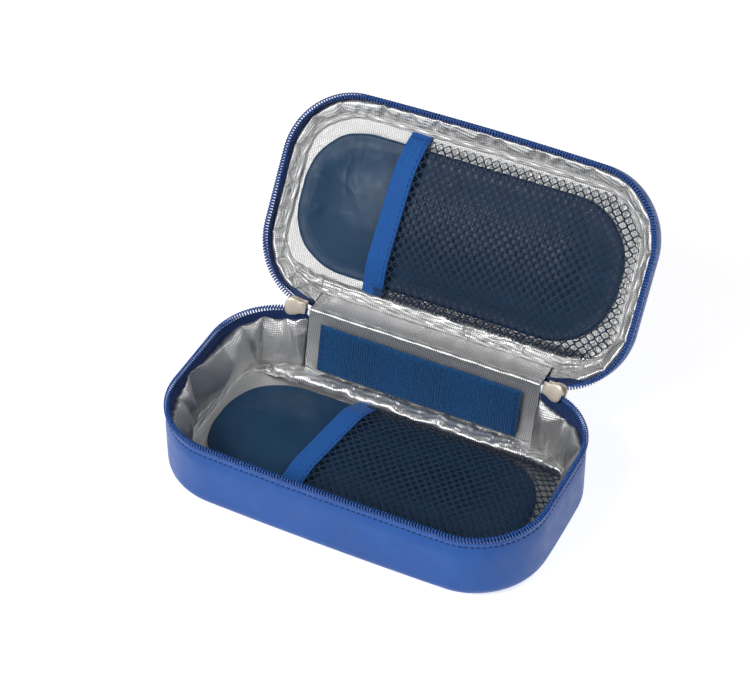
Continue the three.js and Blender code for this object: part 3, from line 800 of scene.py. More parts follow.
COIL_PITCH = 1.5
COIL_INSET = 0.35
COIL_LEVEL = 1.85
COIL_RADIUS = 1.15
COIL_REACH = 1.3
COIL_WIRE = 0.37
COIL_STEPS = 14
TAPE_EDGE = 2.7
TAPE_INSET = 1.3
TAPE_THICKNESS = 0.6
TAPE_START = 0.6


def add_zip_tape(tray):
    ends = (TAPE_START, RIM_LENGTH - TAPE_START)
    distance = np.linspace(*ends, 420)[:, None]
    path = rim(distance)
    level = np.concatenate([[TAPE_EDGE, 2.85], np.linspace(3.2, tray.tape_width, 12)])
    flat = spread(distance, level, 0)
    wave = 0.22 * noise(flat, 9) * smooth(level, 2, 6)
    if tray is lid:
        drawn = 1 - smooth(to_fold(distance), 13, 24)
        raised = 1 - smooth(to_fold(distance), 3, 10)
        wave = wave + 3.0 * drawn * (1 - smooth(level, 3, 7.5))
        level = level - 1.4 * raised * (1 - smooth(level, 3, 6))
    inner = tray.on(path, TAPE_INSET + TAPE_THICKNESS + wave, level)
    outer = tray.on(path, TAPE_INSET + wave, level)
    tape = add_sheet(f"{tray.name}_woven_tape", inner, outer, TAPE, flat)
    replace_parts(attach(tape, tray.name), f"{tray.name}_zipper_tape")
    width, length = tray.tape_width, RIM_LENGTH - 2 * TAPE_START
    line = rim(np.linspace(ends[0] + 14, ends[1] - 14, 400))
    inward = tray.turn(-line[2], -line[3], 0)
    for row, level in enumerate((3.9, width * 0.6)):
        seam = tray.on(line, TAPE_INSET + TAPE_THICKNESS + 0.12, level)
        name = f"{tray.name}_tape_stitching_{row + 1}"
        add_stitches(name, seam, inward, TAPE_STITCH, tray.name)


def add_coil(tray):
    """One continuous nylon spiral along the tape's edge."""
    start = tray.zip_start + 0.4
    loops = int((RIM_LENGTH - 2 * start) / COIL_PITCH)
    turn = np.arange(loops * COIL_STEPS + 1) / COIL_STEPS
    angle = TAU * turn
    path = rim(start + COIL_PITCH * (turn + 0.1 * np.sin(2 * angle)))
    spiral = tray.on(path, COIL_INSET + COIL_RADIUS * np.cos(angle), COIL_LEVEL - COIL_REACH * np.sin(angle))
    sections = tube(spiral, tray.turn(-path[3], path[2], 0), COIL_WIRE, 6, 1.15)
    coil = add_mesh(f"{tray.name}_nylon_coil", *closed_bar(sections, around=False), NYLON)
    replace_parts(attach(coil, tray.name), f"{tray.name}_zipper_coil")


# Cloth simulation: a sheet that is a little too large for its place buckles as sewn foil does

CLOTH_SCALE = 0.02
CLOTH_FRAMES = 22
CLOTH_SETTINGS = {
    "vertex_group_mass": "pins",
    "quality": 5,
    "tension_stiffness": 30,
    "compression_stiffness": 30,
    "shear_stiffness": 12,
    "bending_stiffness": 8.0,
    "air_damping": 2,
}


def buckled(points, pins, surplus):
    """The sheet's grid of points after it has settled with some surplus cloth."""
    rows, cols = points.shape[:2]
    mesh = bpy.data.meshes.new("cloth_work")
    mesh.from_pydata((points.reshape(-1, 3) * CLOTH_SCALE).tolist(), [], grid_faces(rows, cols).tolist())
    sheet = bpy.data.objects.new("cloth_work", mesh)
    scene = bpy.context.scene
    scene.collection.objects.link(sheet)
    group = sheet.vertex_groups.new(name="pins")
    for weight in np.unique(pins):
        group.add(np.flatnonzero(pins.ravel() == weight).tolist(), float(weight), "REPLACE")
    cloth = sheet.modifiers.new("cloth", "CLOTH")
    for name, value in CLOTH_SETTINGS.items():
        setattr(cloth.settings, name, value)
    cloth.settings.shrink_min = -surplus
    cloth.settings.effector_weights.gravity = 0
    cloth.collision_settings.use_collision = False
    cloth.point_cache.frame_end = CLOTH_FRAMES
    for number in range(1, CLOTH_FRAMES + 1):
        scene.frame_set(number)
    settled = sheet.evaluated_get(bpy.context.evaluated_depsgraph_get()).to_mesh()
    result = np.empty(len(settled.vertices) * 3)
    settled.vertices.foreach_get("co", result)
    sheet.evaluated_get(bpy.context.evaluated_depsgraph_get()).to_mesh_clear()
    scene.frame_set(1)
    bpy.data.objects.remove(sheet)
    bpy.data.meshes.remove(mesh)
    return result.reshape(rows, cols, 3) / CLOTH_SCALE


def settle(front, inward, pins, surplus, most=3.0, least=-0.9, slip=1.2):
    """Adds the buckles to a sheet, kept between two distances along its inward direction."""
    moved = buckled(front, pins, surplus) - front
    depth = (moved * inward).sum(-1)
    aside = moved - depth[..., None] * inward
    size = np.linalg.norm(aside, axis=-1, keepdims=True)
    aside = aside * np.minimum(1, slip / np.maximum(size, 1e-6))
    depth = least + (most - least) * np.tanh(np.maximum(depth - least, 0) / (most - least))
    return front + aside + depth[..., None] * inward


# Foil padding: the wall hangs in facets from pleat to pleat

FOIL_END = 0.5
FOOT_GAP = 0.4
BEHIND_TAPE = 2.1
BEHIND_COVER = 1.6
LEAST_PAD = 0.35
TUCK_DEPTH = 0.9
TUCK_WIDTH = 1.3
PIN_REACH = 1.2
FLOOR_SINK = 0.36
FLOOR_SKIRT = 0.2
ROLL_SINK = 0.35
ROLL_UNDERSIDE = 0.5
ROLL_START = 0.9
CRUSHED_PLACE = 24
CORNER_PLACE = 30
CORNER_SPAN = 13
SEAM_LINES = (0.36, 0.64)


def pleated(tray, distance, level, down, inset_at):
    """Chords from pleat to pleat: points, share, distance to a pleat, ridge, diagonal fold and painted shade.
    """
    draw = np.random.default_rng(5)
    stops = np.array(tray.pleats)
    slopes = draw.uniform(0.1, 0.5, len(stops)) * (-1.0) ** np.arange(len(stops))
    slopes[[0, -1]] = 0
    ridge = tray.facets * draw.uniform(0.5, 1.0, len(stops)) * (np.arange(len(stops)) % 2)
    # painted shade: a random darkness for each half of a facet, standing in for how differently the facets
    # reflect
    painted_shades = draw.uniform(0, 1, (len(stops), 2)) ** 1.3
    shift = stops[:, None] + slopes[:, None] * (level.mean(0) - tray.foil_start)
    index = np.empty(level.shape, int)
    for row, line in enumerate(shift.T):
        index[:, row] = np.clip(np.searchsorted(line, distance[:, 0]) - 1, 0, len(line) - 2)
    first, last = (np.take_along_axis(shift, index + step, 0) for step in (0, 1))
    share = np.clip((distance - first) / (last - first), 0, 1)
    ends = [tray.on(rim(at), inset_at(rim(at), level), level) for at in (first, last)]
    chord = ends[0] + (ends[1] - ends[0]) * share[..., None]
    turned = np.where(np.isin(last, shift[::2]), 0.2 + 0.6 * down, 0.8 - 0.6 * down)
    diagonal = np.where(share < turned, share / turned, (1 - share) / (1 - turned))
    one, two = painted_shades[index, 0], painted_shades[index, 1]
    painted_shade = one + (two - one) * smooth(share - turned, -0.05, 0.05)
    height = ridge[index] + (ridge[index + 1] - ridge[index]) * share
    return chord, share, np.minimum(distance - first, last - distance), height, diagonal, painted_shade


def add_wall_padding(tray):
    distance = np.linspace(FOIL_END, RIM_LENGTH - FOIL_END, 400)[:, None]
    share = np.concatenate([[0, 0.012], np.linspace(0.04, 0.985, tray.wall_rows), [1]])[None]
    path = rim(distance)
    line = np.concatenate([distance, 0 * distance, 0 * distance + 5], -1)
    edge = np.interp(distance[:, 0], tray.pleats, tray.foil_edge)
    top = (edge + 0.4 + 0.25 * noise(line, 8) + 0.12 * noise(line + 9, 2.8))[:, None]
    level = top + (tray.foot - FOOT_GAP - top) * share

    def inset_at(path, level):
        slope = (level - tray.foil_start) / (tray.foot - tray.foil_start)
        return FOIL_INSET + (floor_inset(path) - FOIL_INSET) * slope

    flat = spread(distance, level, 0)
    chord, span, near, ridge, diagonal, painted_shade = pleated(tray, distance, level, share, inset_at)
    pleat_rate = np.gradient(np.interp(distance[:, 0], tray.pleats, np.arange(len(tray.pleats))))
    long_span = smooth(pleat_rate, 0.04, 0.02)[:, None]
    sag = tray.wall_sag * (1 + long_span) * arch(span[:, :1]) * (1 - share)
    level = level + sag
    chord = chord + tray.turn(0, 0, 1.0) * sag[..., None]
    round_wall = tray.on(path, inset_at(path, level), level)
    front = round_wall + (chord - round_wall) * (1 - smooth(share, 0.72, 1))[..., None]
    inward = tray.turn(-path[2], -path[3], 0) + np.zeros(front.shape)
    pillow = tray.wall_puff * arch(share, 0.8) * (0.35 + tray.wall_swell * arch(span))
    pillow = pillow + ridge * arch(share**0.8, 0.7) + tray.diagonals * diagonal * arch(share)
    tuck = TUCK_DEPTH * np.exp(-near / TUCK_WIDTH) * arch(np.clip(share + 0.25, 0, 1))
    coarse, fine, facet = tray.wall_relief
    fine = fine * (1 + 1.2 * smooth(-path[0], 55, 80))
    crease = coarse * ridges(flat * (1, 0.6, 1), 12) + fine * ridges(flat, 4)
    crushed = bell(to_fold(distance), CRUSHED_PLACE, CORNER_SPAN) * smooth(share, 0.4, 0.75)
    sharp = facet * (crumple(flat + 5, 18, 2) - 0.3)
    sharp = sharp + tray.crushed * crushed * (crumple(flat + 70, 9, 2) - 0.25)
    front = front + inward * (pillow + (crease + sharp) * arch(share, 0.6) - 0.8 * tuck)[..., None]
    pins = np.zeros(level.shape)
    pins[:, -1] = 1.0
    pins[:, 0] = np.where(near[:, 0] < PIN_REACH, 1.0, 0.4)
    pins[0], pins[-1] = 1.0, 1.0
    front = settle(front, inward, pins, tray.wall_surplus)
    behind = np.where(level < tray.tape_width + 0.5, BEHIND_TAPE, BEHIND_COVER)
    behind = np.maximum(behind, inside_cover(tray, level) + LAYER_GAP)
    back = tray.on(path, np.minimum(behind, inset_at(path, level) - LEAST_PAD), level)
    # painted shade: the facets' darkness goes into the foil's colour, strongest towards the middle of the
    # wall
    flat[..., 2] = tray.wall_shade * painted_shade * arch(share, 0.5)
    pad = add_sheet(f"{tray.name}_wall_padding", front, back, FOIL, flat)
    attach(pad, tray.name)
    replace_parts(pad, f"{tray.name}_wall_foam", f"{tray.name}_wall_lining")


def add_floor_padding(tray):
    path = rim(np.linspace(0, RIM_LENGTH, 260, endpoint=False))
    outline = beside(path, floor_inset(path) + FLOOR_SKIRT)

    def front(x, y):
        flat = spread(x, y, 3)
        beyond_pack = smooth(pack_inset(tray, x, y), 1.0, -3.0)
        ripple = tray.floor_ripple * beyond_pack * crumple(flat, 24, 1)
        return tray.rest + FLOOR_SINK - 0.1 * noise(flat, 14) - ripple

    def back(x, y):
        return tray.foot + tray.foam - 0.1

    shares = np.concatenate([[1, 0.994, 0.985], np.linspace(0.97, 0.03, 34)])
    points, faces = ringed_plate(tray, outline, front, back, shares)
    local = spread(points[:, 0], points[:, 1] + points[:, 2], 0)
    pad = add_mesh(f"{tray.name}_floor_padding", points, faces, FOIL, local)
    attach(pad, tray.name)
    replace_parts(pad, f"{tray.name}_floor_foam", f"{tray.name}_floor_lining")


def add_floor_roll(tray):
    """The crumpled roll of foil that closes the seam between wall and floor."""
    distance = np.linspace(FOIL_END, RIM_LENGTH - FOIL_END, 760)
    back_x = np.linspace(HINGE_HALF - FOIL_END, FOIL_END - HINGE_HALF, 300)
    path = [np.concatenate(axes)[:, None] for axes in zip(rim(distance), back_line(back_x))]
    travel = np.concatenate([distance, RIM_LENGTH + HINGE_HALF - back_x])[:, None]
    along = np.concatenate([travel, 0 * travel, 0 * travel + 20], -1)
    behind = smooth(path[3], 0.55, 0.98)
    corner = bell(to_fold(travel), CORNER_PLACE, CORNER_SPAN)
    turn = np.linspace(0, math.pi, 25)
    across = (1 - np.cos(turn)) / 2
    width, back_width = tray.roll_width
    uneven = (1 + 0.09 * noise(along, 14) + 0.06 * noise(along, 5))[:, None]
    wide = (width + (back_width - width) * behind) * uneven
    lift = tray.roll_lift * behind * smooth(across, 0.1, 0.6)
    height, back_height = tray.roll_height
    folds = 0.2 + 0.5 * corner
    bumps = 1 + folds * noise(along + 7, 7)[:, None] + 0.7 * folds * noise(along + 3, 3)[:, None]
    tall = (height + back_height * behind) * bumps
    cords = 0.3 * np.sin(turn) + 0.8 * np.abs(np.sin(TAU * across)) ** 0.6
    up = cords * (1 - behind) + np.sin(turn) ** 0.6 * behind
    cloth = spread(travel, wide * across, 0)
    rough = 0.2 + 0.8 * np.maximum(behind, 1.6 * corner)
    crease = rough * (0.36 * crumple(cloth, 8, 2) + 0.14 * np.abs(noise(cloth, 2.6)))
    seams = sum(bell(across, line, 0.06) for line in SEAM_LINES)
    crease = crease + 0.4 * seams * (1 - 0.6 * behind)
    inset = floor_inset(path) - ROLL_START + wide * across
    top = tray.on(path, inset, tray.rest + ROLL_SINK - lift - tall * up * (1.15 - crease))
    under = tray.on(path, inset, tray.rest + ROLL_UNDERSIDE - lift)
    sections = np.concatenate([top, under[:, ::-1][:, 1:-1]], 1)
    around = np.concatenate([across, across[::-1][1:-1]])
    # painted shade along the roll's two seam grooves, weaker on the wide roll behind
    seam_painted_shade = bell(around, 0.36, 0.05) + bell(around, 0.66, 0.05)
    cloth = spread(travel, width * around, 0.9 * seam_painted_shade * (1 - 0.7 * behind))
    roll = add_mesh(f"{tray.name}_seam_roll", *closed_bar(sections), FOIL, cloth)
    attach(roll, tray.name)
    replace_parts(roll, f"{tray.name}_floor_binding")


# Gel packs

PACK_CORNER = 33.0
FLANGE = 6.5
FLANGE_HEIGHT = 1.35
DOME_START = FLANGE - 1.5
DOME_RUN = 28.5
PACK_HEIGHT = 6.6
EDGE_DROP = 0.45
WELD_LINE = 0.16
WELD_PLACE = 5.2
WELD_WIDTH = 0.6
SHOULDER_PLACE = 11
SHOULDER_WIDTH = 4.5
PACK_UNDERSIDE = 0.12


def rounded_outline(half_length, half_width, radius, count):
    """Travel, points and outward normals round a rectangle with round corners, evenly spaced."""
    turn = np.linspace(0, math.pi / 2, 40)
    xs, ys, ts = [], [], []
    for quarter, (sx, sy) in enumerate([(1, 1), (-1, 1), (-1, -1), (1, -1)]):
        angle = turn + quarter * math.pi / 2
        xs.append(sx * (half_length - radius) + radius * np.cos(angle))
        ys.append(sy * (half_width - radius) + radius * np.sin(angle))
        ts.append(angle)
    xs, ys, ts = map(np.concatenate, (xs, ys, ts))
    xs, ys, ts = np.append(xs, xs[0]), np.append(ys, ys[0]), np.append(ts, TAU)
    travel = travelled(xs, ys)
    at = np.linspace(0, travel[-1], count, endpoint=False)
    x, y, t = (np.interp(at, travel, v) for v in (xs, ys, ts))
    return at, x, y, np.cos(t), np.sin(t)


def pack_inset(tray, x, y):
    """How far a point lies inside the pack's outline."""
    dx, dy = (
        np.abs(value - middle) - (half - PACK_CORNER)
        for value, middle, half in zip((x, y), tray.pack_centre, tray.pack_half)
    )
    outside = np.hypot(np.maximum(dx, 0), np.maximum(dy, 0))
    return PACK_CORNER - outside - np.minimum(np.maximum(dx, dy), 0)


def dome(deep):
    """Height of the gel's dome over the weld, some way in from the pack's edge."""
    swing = np.clip((deep - DOME_START) / DOME_RUN, 0, 1)
    return (PACK_HEIGHT - FLANGE_HEIGHT) * np.sin(np.pi / 2 * swing) ** 1.1


def pack_top(tray, x, y):
    inset = pack_inset(tray, x, y)
    return np.where(inset > -0.5, FLANGE_HEIGHT + 0.35 + dome(inset), 0)


def add_pack(tray):
    travel, x, y, nx, ny = rounded_outline(*tray.pack_half, PACK_CORNER, 520)
    ring = spread(35 * nx, 35 * ny, tray.slices["weld"])
    uneven = 0.9 * noise(ring, 24) + 0.35 * noise(ring, 9) - 0.5
    x, y = x + tray.pack_centre[0] + uneven * nx, y + tray.pack_centre[1] + uneven * ny
    weld_rings = [0, 0.25, 0.8, 1.6, 2.6, 3.6, 4.6, 5.4, 6.2, 6.9, 7.5]
    insets = np.concatenate([weld_rings, np.linspace(8, 26, 27), [28, 31]])[:, None]
    px, py = beside((x, y, nx, ny), insets)
    flat = spread(px, py, tray.slices["pack"])
    ring = spread(travel, insets * 0.3, 0.0)
    wobble = 1.1 * noise(ring * (1, 0, 1), 17) + 0.6 * noise(ring * (1, 0, 1) + 5, 7)
    deep = insets + wobble * smooth(insets, 3, 8)
    height = np.where(insets < 0.5, FLANGE_HEIGHT - EDGE_DROP, FLANGE_HEIGHT)
    height = height + WELD_LINE * bell(deep, WELD_PLACE, WELD_WIDTH) + dome(deep)
    pucker = ridges(ring, 7.5) + 0.5 * ridges(ring + 9, 3.6)
    shoulder = bell(deep, SHOULDER_PLACE, SHOULDER_WIDTH)
    top = height - 0.45 * shoulder * pucker * (0.3 + 0.7 * np.abs(nx))
    top = top - 0.8 * smooth(insets, 11, 24) * np.abs(noise(flat, 34))
    top = top - 0.3 * ridges(flat, 19, 6) * smooth(insets, 9, 15)
    top = top + 0.12 * noise(flat, 6) * smooth(insets, 9, 14)
    top = top + 0.3 * np.abs(noise(ring + 30, 8)) * smooth(insets, 7, 1) * smooth(insets, 0, 0.8)
    bottom = PACK_UNDERSIDE + 0.6 * np.exp(-insets / 1.2) + 0 * top
    bottom[0] = top[0] - 0.3
    upper = tray.place(px, py, tray.rest - top)
    lower = tray.place(px, py, tray.rest - np.minimum(bottom, top - 0.25))
    cloth = np.stack([flat] * 2)
    pack = add_mesh(f"{tray.name}_gel_pack", *closed_rings(upper, lower), FILM, cloth)
    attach(pack, f"{tray.name}_pack")
    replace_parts(pack, *(f"{tray.name}_pack_{part}" for part in ("bottom_film", "gel", "top_film")))


# Net pockets and their elastic bands

SEAM_INSET = 3.2
NET_PITCH = 4.4
NET_ROW = 2.6
NET_THREAD = 0.68
NET_THICKNESS = 0.32
NET_LIFT = 8.0
NET_RUN = 22.0
HEM_PITCH = 2.2
HEM_ROW = 1.5
HEM_THREAD = 0.62
HEM_HALF = 2.8
NET_STAND = 0.35
ON_PACK = 0.4
HEM_STAND = 0.55
HEM_ON_PACK = 0.6
BAND_STAND = 0.75
BAND_UPPER = 0.62
BAND_LOWER = 0.2
BAND_OVERLAP = 0.6
STITCH_LIFT = 0.06
BAND_WIDTH = 11.0


def band_middle(tray, y):
    return tray.band_middle + tray.band_skew * y


def seam_line(tray, count=900):
    """The net's seam on the floor, from the mouth's front end round to its back end."""
    distance = np.linspace(0, RIM_LENGTH, 4 * count)
    back = back_line(np.linspace(HINGE_HALF, -HINGE_HALF, count))
    path = [np.append(a, b) for a, b in zip(rim(distance), back)]
    x, y = beside(path, floor_inset(path) + SEAM_INSET)
    inside = x > band_middle(tray, y)
    start = np.argmax(inside & (y < 0))
    x, y, inside = (np.roll(values, -start) for values in (x, y, inside))
    x, y = x[inside], y[inside]
    travel = travelled(x, y)
    at = np.linspace(0, travel[-1], count)
    return np.interp(at, travel, x), np.interp(at, travel, y)


SEAMS = {tray.name: seam_line(tray) for tray in TRAYS}


def seam_distance(tray, x, y, chunk=4000):
    seam_x, seam_y = SEAMS[tray.name]
    parts = [slice(first, first + chunk) for first in range(0, len(x), chunk)]
    away = [np.hypot(x[part, None] - seam_x, y[part, None] - seam_y).min(1) for part in parts]
    return np.concatenate(away)


def drape(tray, distance, y):
    """Height of the net above the floor, some way in from its seam and lower beside the back roll."""
    held_down = tray.held_down * smooth(y, 5, 30)
    share = np.clip(1 - np.maximum(distance - held_down, 0) / NET_RUN, 0, 1)
    return NET_LIFT * (1 - share**1.6) + 0.5 * smooth(distance, 0, 2)


def net_centres(tray, pitch, pitch_row):
    """Centres of the net's cells within the seam and the mouth."""
    rows, cols = math.ceil(52 / pitch_row), math.ceil(104 / pitch)
    row, col = np.meshgrid(np.arange(-rows, rows + 1), np.arange(-cols, cols + 1), indexing="ij")
    x, y = (pitch * (col + 0.5 * (row % 2))).ravel(), (pitch_row * row).ravel()
    if pitch < NET_PITCH:
        hem = np.abs(y - tray.hem_middle) < HEM_HALF + 0.4 * noise(spread(x, y, 0), 9)
        x, y = x[hem], y[hem]
    seam_x, seam_y = SEAMS[tray.name]
    behind, before = seam_y > 0, seam_y < 0
    inside = y < np.interp(x, seam_x[behind][::-1], seam_y[behind][::-1])
    inside &= (y > np.interp(x, seam_x[before], seam_y[before])) & (x < seam_x.max())
    inside &= (x > band_middle(tray, y) + 1) & (seam_distance(tray, x, y) > 1.2)
    return np.stack([x[inside], y[inside]], -1)


def net_cell(pitch, pitch_row, width):
    """Points and thread heights of one hexagon's threads, with a rounded hole."""
    half = pitch / 2
    reach = (half**2 + pitch_row**2) / 2
    side, point = (reach - half**2) / pitch_row, reach / pitch_row
    corners = np.array([(half, side), (0, point), (-half, side), (-half, -side), (0, -point), (half, -side)])
    after = np.roll(corners, -1, 0)
    border = np.stack([corners, corners * 2 / 3 + after / 3, corners / 3 + after * 2 / 3], 1).reshape(-1, 2)
    edges = after - corners
    normal = unit(np.stack([edges[:, 1], -edges[:, 0]], -1))
    ray = unit(border)
    slack = np.abs((normal * corners).sum(1)) - width / 2
    across = np.abs(ray @ normal.T)
    to_edge = np.where(across > 1e-3, slack / np.maximum(across, 1e-3), 1e9).min(1)
    hole = ray * (0.6 * to_edge + 0.4 * np.minimum(to_edge, 1.12 * slack.min()))[:, None]
    middle = border * 0.35 + hole * 0.65
    rings = np.stack([border, middle, hole, middle, border])
    return rings.reshape(-1, 2), np.repeat((1.0, 0.75, 0.0, -0.75, -1.0), len(border)), len(border)


def hexagon_net(tray, pitch, pitch_row, width):
    """A flat hexagonal net: x, y, thread height, faces and the area of its threads."""
    centres = net_centres(tray, pitch, pitch_row)
    points, heights, count = net_cell(pitch, pitch_row, width)
    one = grid_faces(5, count, around=True)
    faces = np.concatenate([one + k * len(points) for k in range(len(centres))])
    flat = (centres[:, None] + points).reshape(-1, 2)
    flat = np.column_stack([flat, np.tile(heights, len(centres))])
    key = np.round(flat * (1, 1, 3) * 200).astype(np.int64)
    _, first, inverse = np.unique(key, axis=0, return_index=True, return_inverse=True)
    flat, faces = flat[first], inverse.reshape(-1)[faces]
    a, b, c, d = ((flat * (1, 1, NET_THICKNESS))[faces[:, i]] for i in range(4))
    area = np.linalg.norm(np.cross(c - a, d - b), axis=1).sum() / 2
    return *flat.T, faces, area / 2


def add_net(tray):
    x, y, thread, faces, cut = hexagon_net(tray, NET_PITCH, NET_ROW, NET_THREAD)
    away = seam_distance(tray, x, y)
    far = spread(x, y, tray.slices["net"])
    free = smooth(away, 0.5, 5)
    sag = np.abs(noise(far, 13)) * 0.45 + 0.25 * np.abs(noise(far, 5))
    lift = drape(tray, away, y) + NET_STAND + NET_THICKNESS * thread
    lift = np.maximum(lift - sag * free, pack_top(tray, x, y) + ON_PACK + NET_THICKNESS * thread)
    stretched = (x + noise(far, 16) * 0.5 * free, y + 0.4 * noise(far + 50, 14) * free)
    points = tray.place(*stretched, tray.rest - lift)
    net = add_mesh(f"{tray.name}_hexagonal_net", points, faces, NET, spread(x, y, thread))
    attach(net, tray.name)
    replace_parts(net, f"{tray.name}_net_pocket")


def add_net_hem(tray):
    """The doubled, gathered edge of the net along the back seam, denser than the rest."""
    x, y, thread, faces, cut = hexagon_net(tray, HEM_PITCH, HEM_ROW, HEM_THREAD)
    along = spread(x, 0.5 * y, tray.slices["hem"])
    ruffle = 0.6 * np.abs(noise(along, 3.5)) + 0.35 * np.abs(noise(along + 9, 1.7))
    net = drape(tray, seam_distance(tray, x, y), y) + NET_STAND
    under = np.maximum(net, pack_top(tray, x, y) + HEM_ON_PACK)
    rise = under + HEM_STAND + NET_THICKNESS * thread + ruffle
    points = tray.place(x, y + 0.4 * noise(along + 4, 6), tray.rest - rise)
    hem = add_mesh(f"{tray.name}_net_hem", points, faces, HEM, spread(x, y, thread))
    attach(hem, tray.name)


def add_band(tray):
    """The elastic band along the mouth, sewn down at its ends."""
    seam_x, seam_y = SEAMS[tray.name]
    front_y = np.interp(tray.band_middle, seam_x[seam_y < 0], seam_y[seam_y < 0]) - BAND_OVERLAP
    back_y = seam_y.max() + BAND_OVERLAP
    y = np.linspace(front_y, back_y, 150)[:, None]
    share = np.linspace(-1, 1, 26)
    end = np.minimum(y - front_y, back_y - y)
    along = spread(y, share * 6, float(tray.slices["band"]))
    height = drape(tray, np.maximum(end - 1.5, 0), y) + BAND_STAND
    height = height + 0.16 * noise(along, 9) * smooth(end, 2, 9) + 0.12 * np.sqrt(1 - np.abs(share) ** 4)
    across = share * (BAND_WIDTH / 2 * (1 + 0.02 * noise(along * (1, 0, 1), 20)))
    x = band_middle(tray, y) + across + 0.4 * np.sin(y / 21) * smooth(end, 0, 10)
    upper = tray.place(x, y, tray.rest - height - BAND_UPPER)
    lower = tray.place(x, y, tray.rest - height + BAND_LOWER)
    band = add_sheet(f"{tray.name}_elastic", upper, lower, ELASTIC, spread(y, across, 0.0))
    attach(band, tray.name)
    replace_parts(band, f"{tray.name}_elastic_band")
    up = tray.turn(0, 0, -1.0)
    seams = {
        "band_stitching": (upper[:, 22], BAND_STITCH),
        "band_end_stitching_1": (upper[4, 1:-1], END_STITCH),
        "band_end_stitching_2": (upper[-5, 1:-1], END_STITCH),
    }
    for name, (seam, kind) in seams.items():
        add_stitches(f"{tray.name}_{name}", seam + up * STITCH_LIFT, up, kind, tray.name)


# Fold between the trays

FOLD_HALF = HINGE_HALF - 0.35
BACK_TOP_LEVEL = 0.7
PAD_TOP_LEVEL = 1.0
PAD_TOP_INSET = 1.6
PAD_BACK_INSET = 1.15


def add_back_cover():
    """The leather of both back walls, in one piece over the fold."""
    x = np.linspace(-FOLD_HALF, FOLD_HALF, 150)
    turn = np.linspace(math.pi / 2, 0, 9)[:, None]
    bulged = np.append(np.zeros(9), arch(np.linspace(0, 1, 21), 0.6))[:, None]
    outer, inner = [], []
    for tray in TRAYS:
        radius, side_end = tray.edge_radius, tray.depth - tray.edge_radius
        levels = np.linspace(side_end, BACK_TOP_LEVEL, 22)[1:, None]
        for rows, inset in ((outer, 0), (inner, COVER)):
            small = radius - inset
            insets = np.concatenate([radius - small * np.cos(turn), 0 * levels + inset])
            depths = np.concatenate([side_end + small * np.sin(turn), levels])
            rows.append(tray.on(back_line(x), insets, depths))
        bulge = bulged * (0.3 * noise(outer[-1], 26) + 0.25) * tray.back_bulge
        outer[-1] = outer[-1] + tray.turn(0.0, 1.0, 0.0) * bulge[..., None]
    crease = []
    for share in np.linspace(0.15, 0.85, 5):
        sunk = 0.55 * (1 - math.sin(math.pi * share))
        crease.append(spread(x, HALF_WIDTH + 0.05 + share * 0.4, HINGE_HEIGHT - sunk))
    ridge = [around_fold(x, 1.0, degrees) for degrees in (165, 140, 117, 95, 70)]
    outer = np.concatenate([outer[0], crease, outer[1][::-1]])
    inner = np.concatenate([inner[0], ridge, inner[1][::-1]])
    cloth = spread(x, np.arange(len(outer))[:, None], 0.0)
    cover = add_sheet("back_cover", outer, inner, LEATHER, cloth)
    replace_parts(cover, "back_panel_lower", "back_panel_upper")
    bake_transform(cover)


def back_inset(tray, level):
    """Inset of the back padding's face, which leans in towards the floor."""
    slope = (level - PAD_TOP_LEVEL) / (tray.foot - PAD_TOP_LEVEL)
    return PAD_TOP_INSET + (SIDE_FLOOR_INSET - PAD_TOP_INSET) * slope


def add_back_lining():
    """The padded foil of both back walls, in one piece over the fold."""
    x = np.linspace(-FOLD_HALF, FOLD_HALF, 260)
    front, back, runs = [], [], []
    for tray in TRAYS:
        share = np.linspace(0, 1, tray.back_rows)[:, None]
        level = (tray.foot - 0.3) * (1 - share) + PAD_TOP_LEVEL * share
        inset = back_inset(tray, level)
        flat = spread(x, level, float(tray.slices["back"]))
        window = arch(share, 0.8)
        under_strip = smooth(np.abs(x), 60, 53) * smooth(level, 33, 30) if tray is base else 0
        relief = 0.5 * ridges(flat * (1, 0.3, 1), 10, 3) + 0.5 * crumple(flat, 9) + 0.25 * noise(flat, 16)
        relief = tray.back_relief * (relief * window) * (1 - 0.8 * under_strip)
        relief = relief - 0.24 * bell(np.abs(x), FOLD_HALF, 5) * window
        front.append(tray.on(back_line(x), inset + relief, level))
        back.append(tray.on(back_line(x), np.maximum(inset - 0.9, PAD_BACK_INSET), level))
        runs.append(level)
    along = spread(x, 0, 44)
    ridge, ridge_in = [], []
    for degrees in (168, 150, 132, 114, 96, 78, 62):
        swell = 0.35 * noise(along, 7) * math.sin(math.radians(degrees))
        ridge.append(around_fold(x, 1.65 + swell + 0.2 * noise(along, 3), degrees))
        ridge_in.append(around_fold(x, PAD_BACK_INSET, degrees))
    front = np.concatenate([front[0], ridge, front[1][::-1]])
    back = np.concatenate([back[0], ridge_in, back[1][::-1]])
    run = np.concatenate([runs[0], np.zeros((len(ridge), 1)), -runs[1][::-1]])
    lining = add_sheet("back_foil_padding", front, back, FOIL, spread(x, run, 0.0))
    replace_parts(lining, "back_lining_lower", "back_lining_upper", "back_foam_lower", "back_foam_upper")
    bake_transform(lining)


# Loop strip

STRIP_HALF = 55.5
STRIP_TOP = 3.8
STRIP_FOOT = 30.0
STRIP_STAND = 2.3
STRIP_THICKNESS = 1.5
PILE_PITCH = 1.4


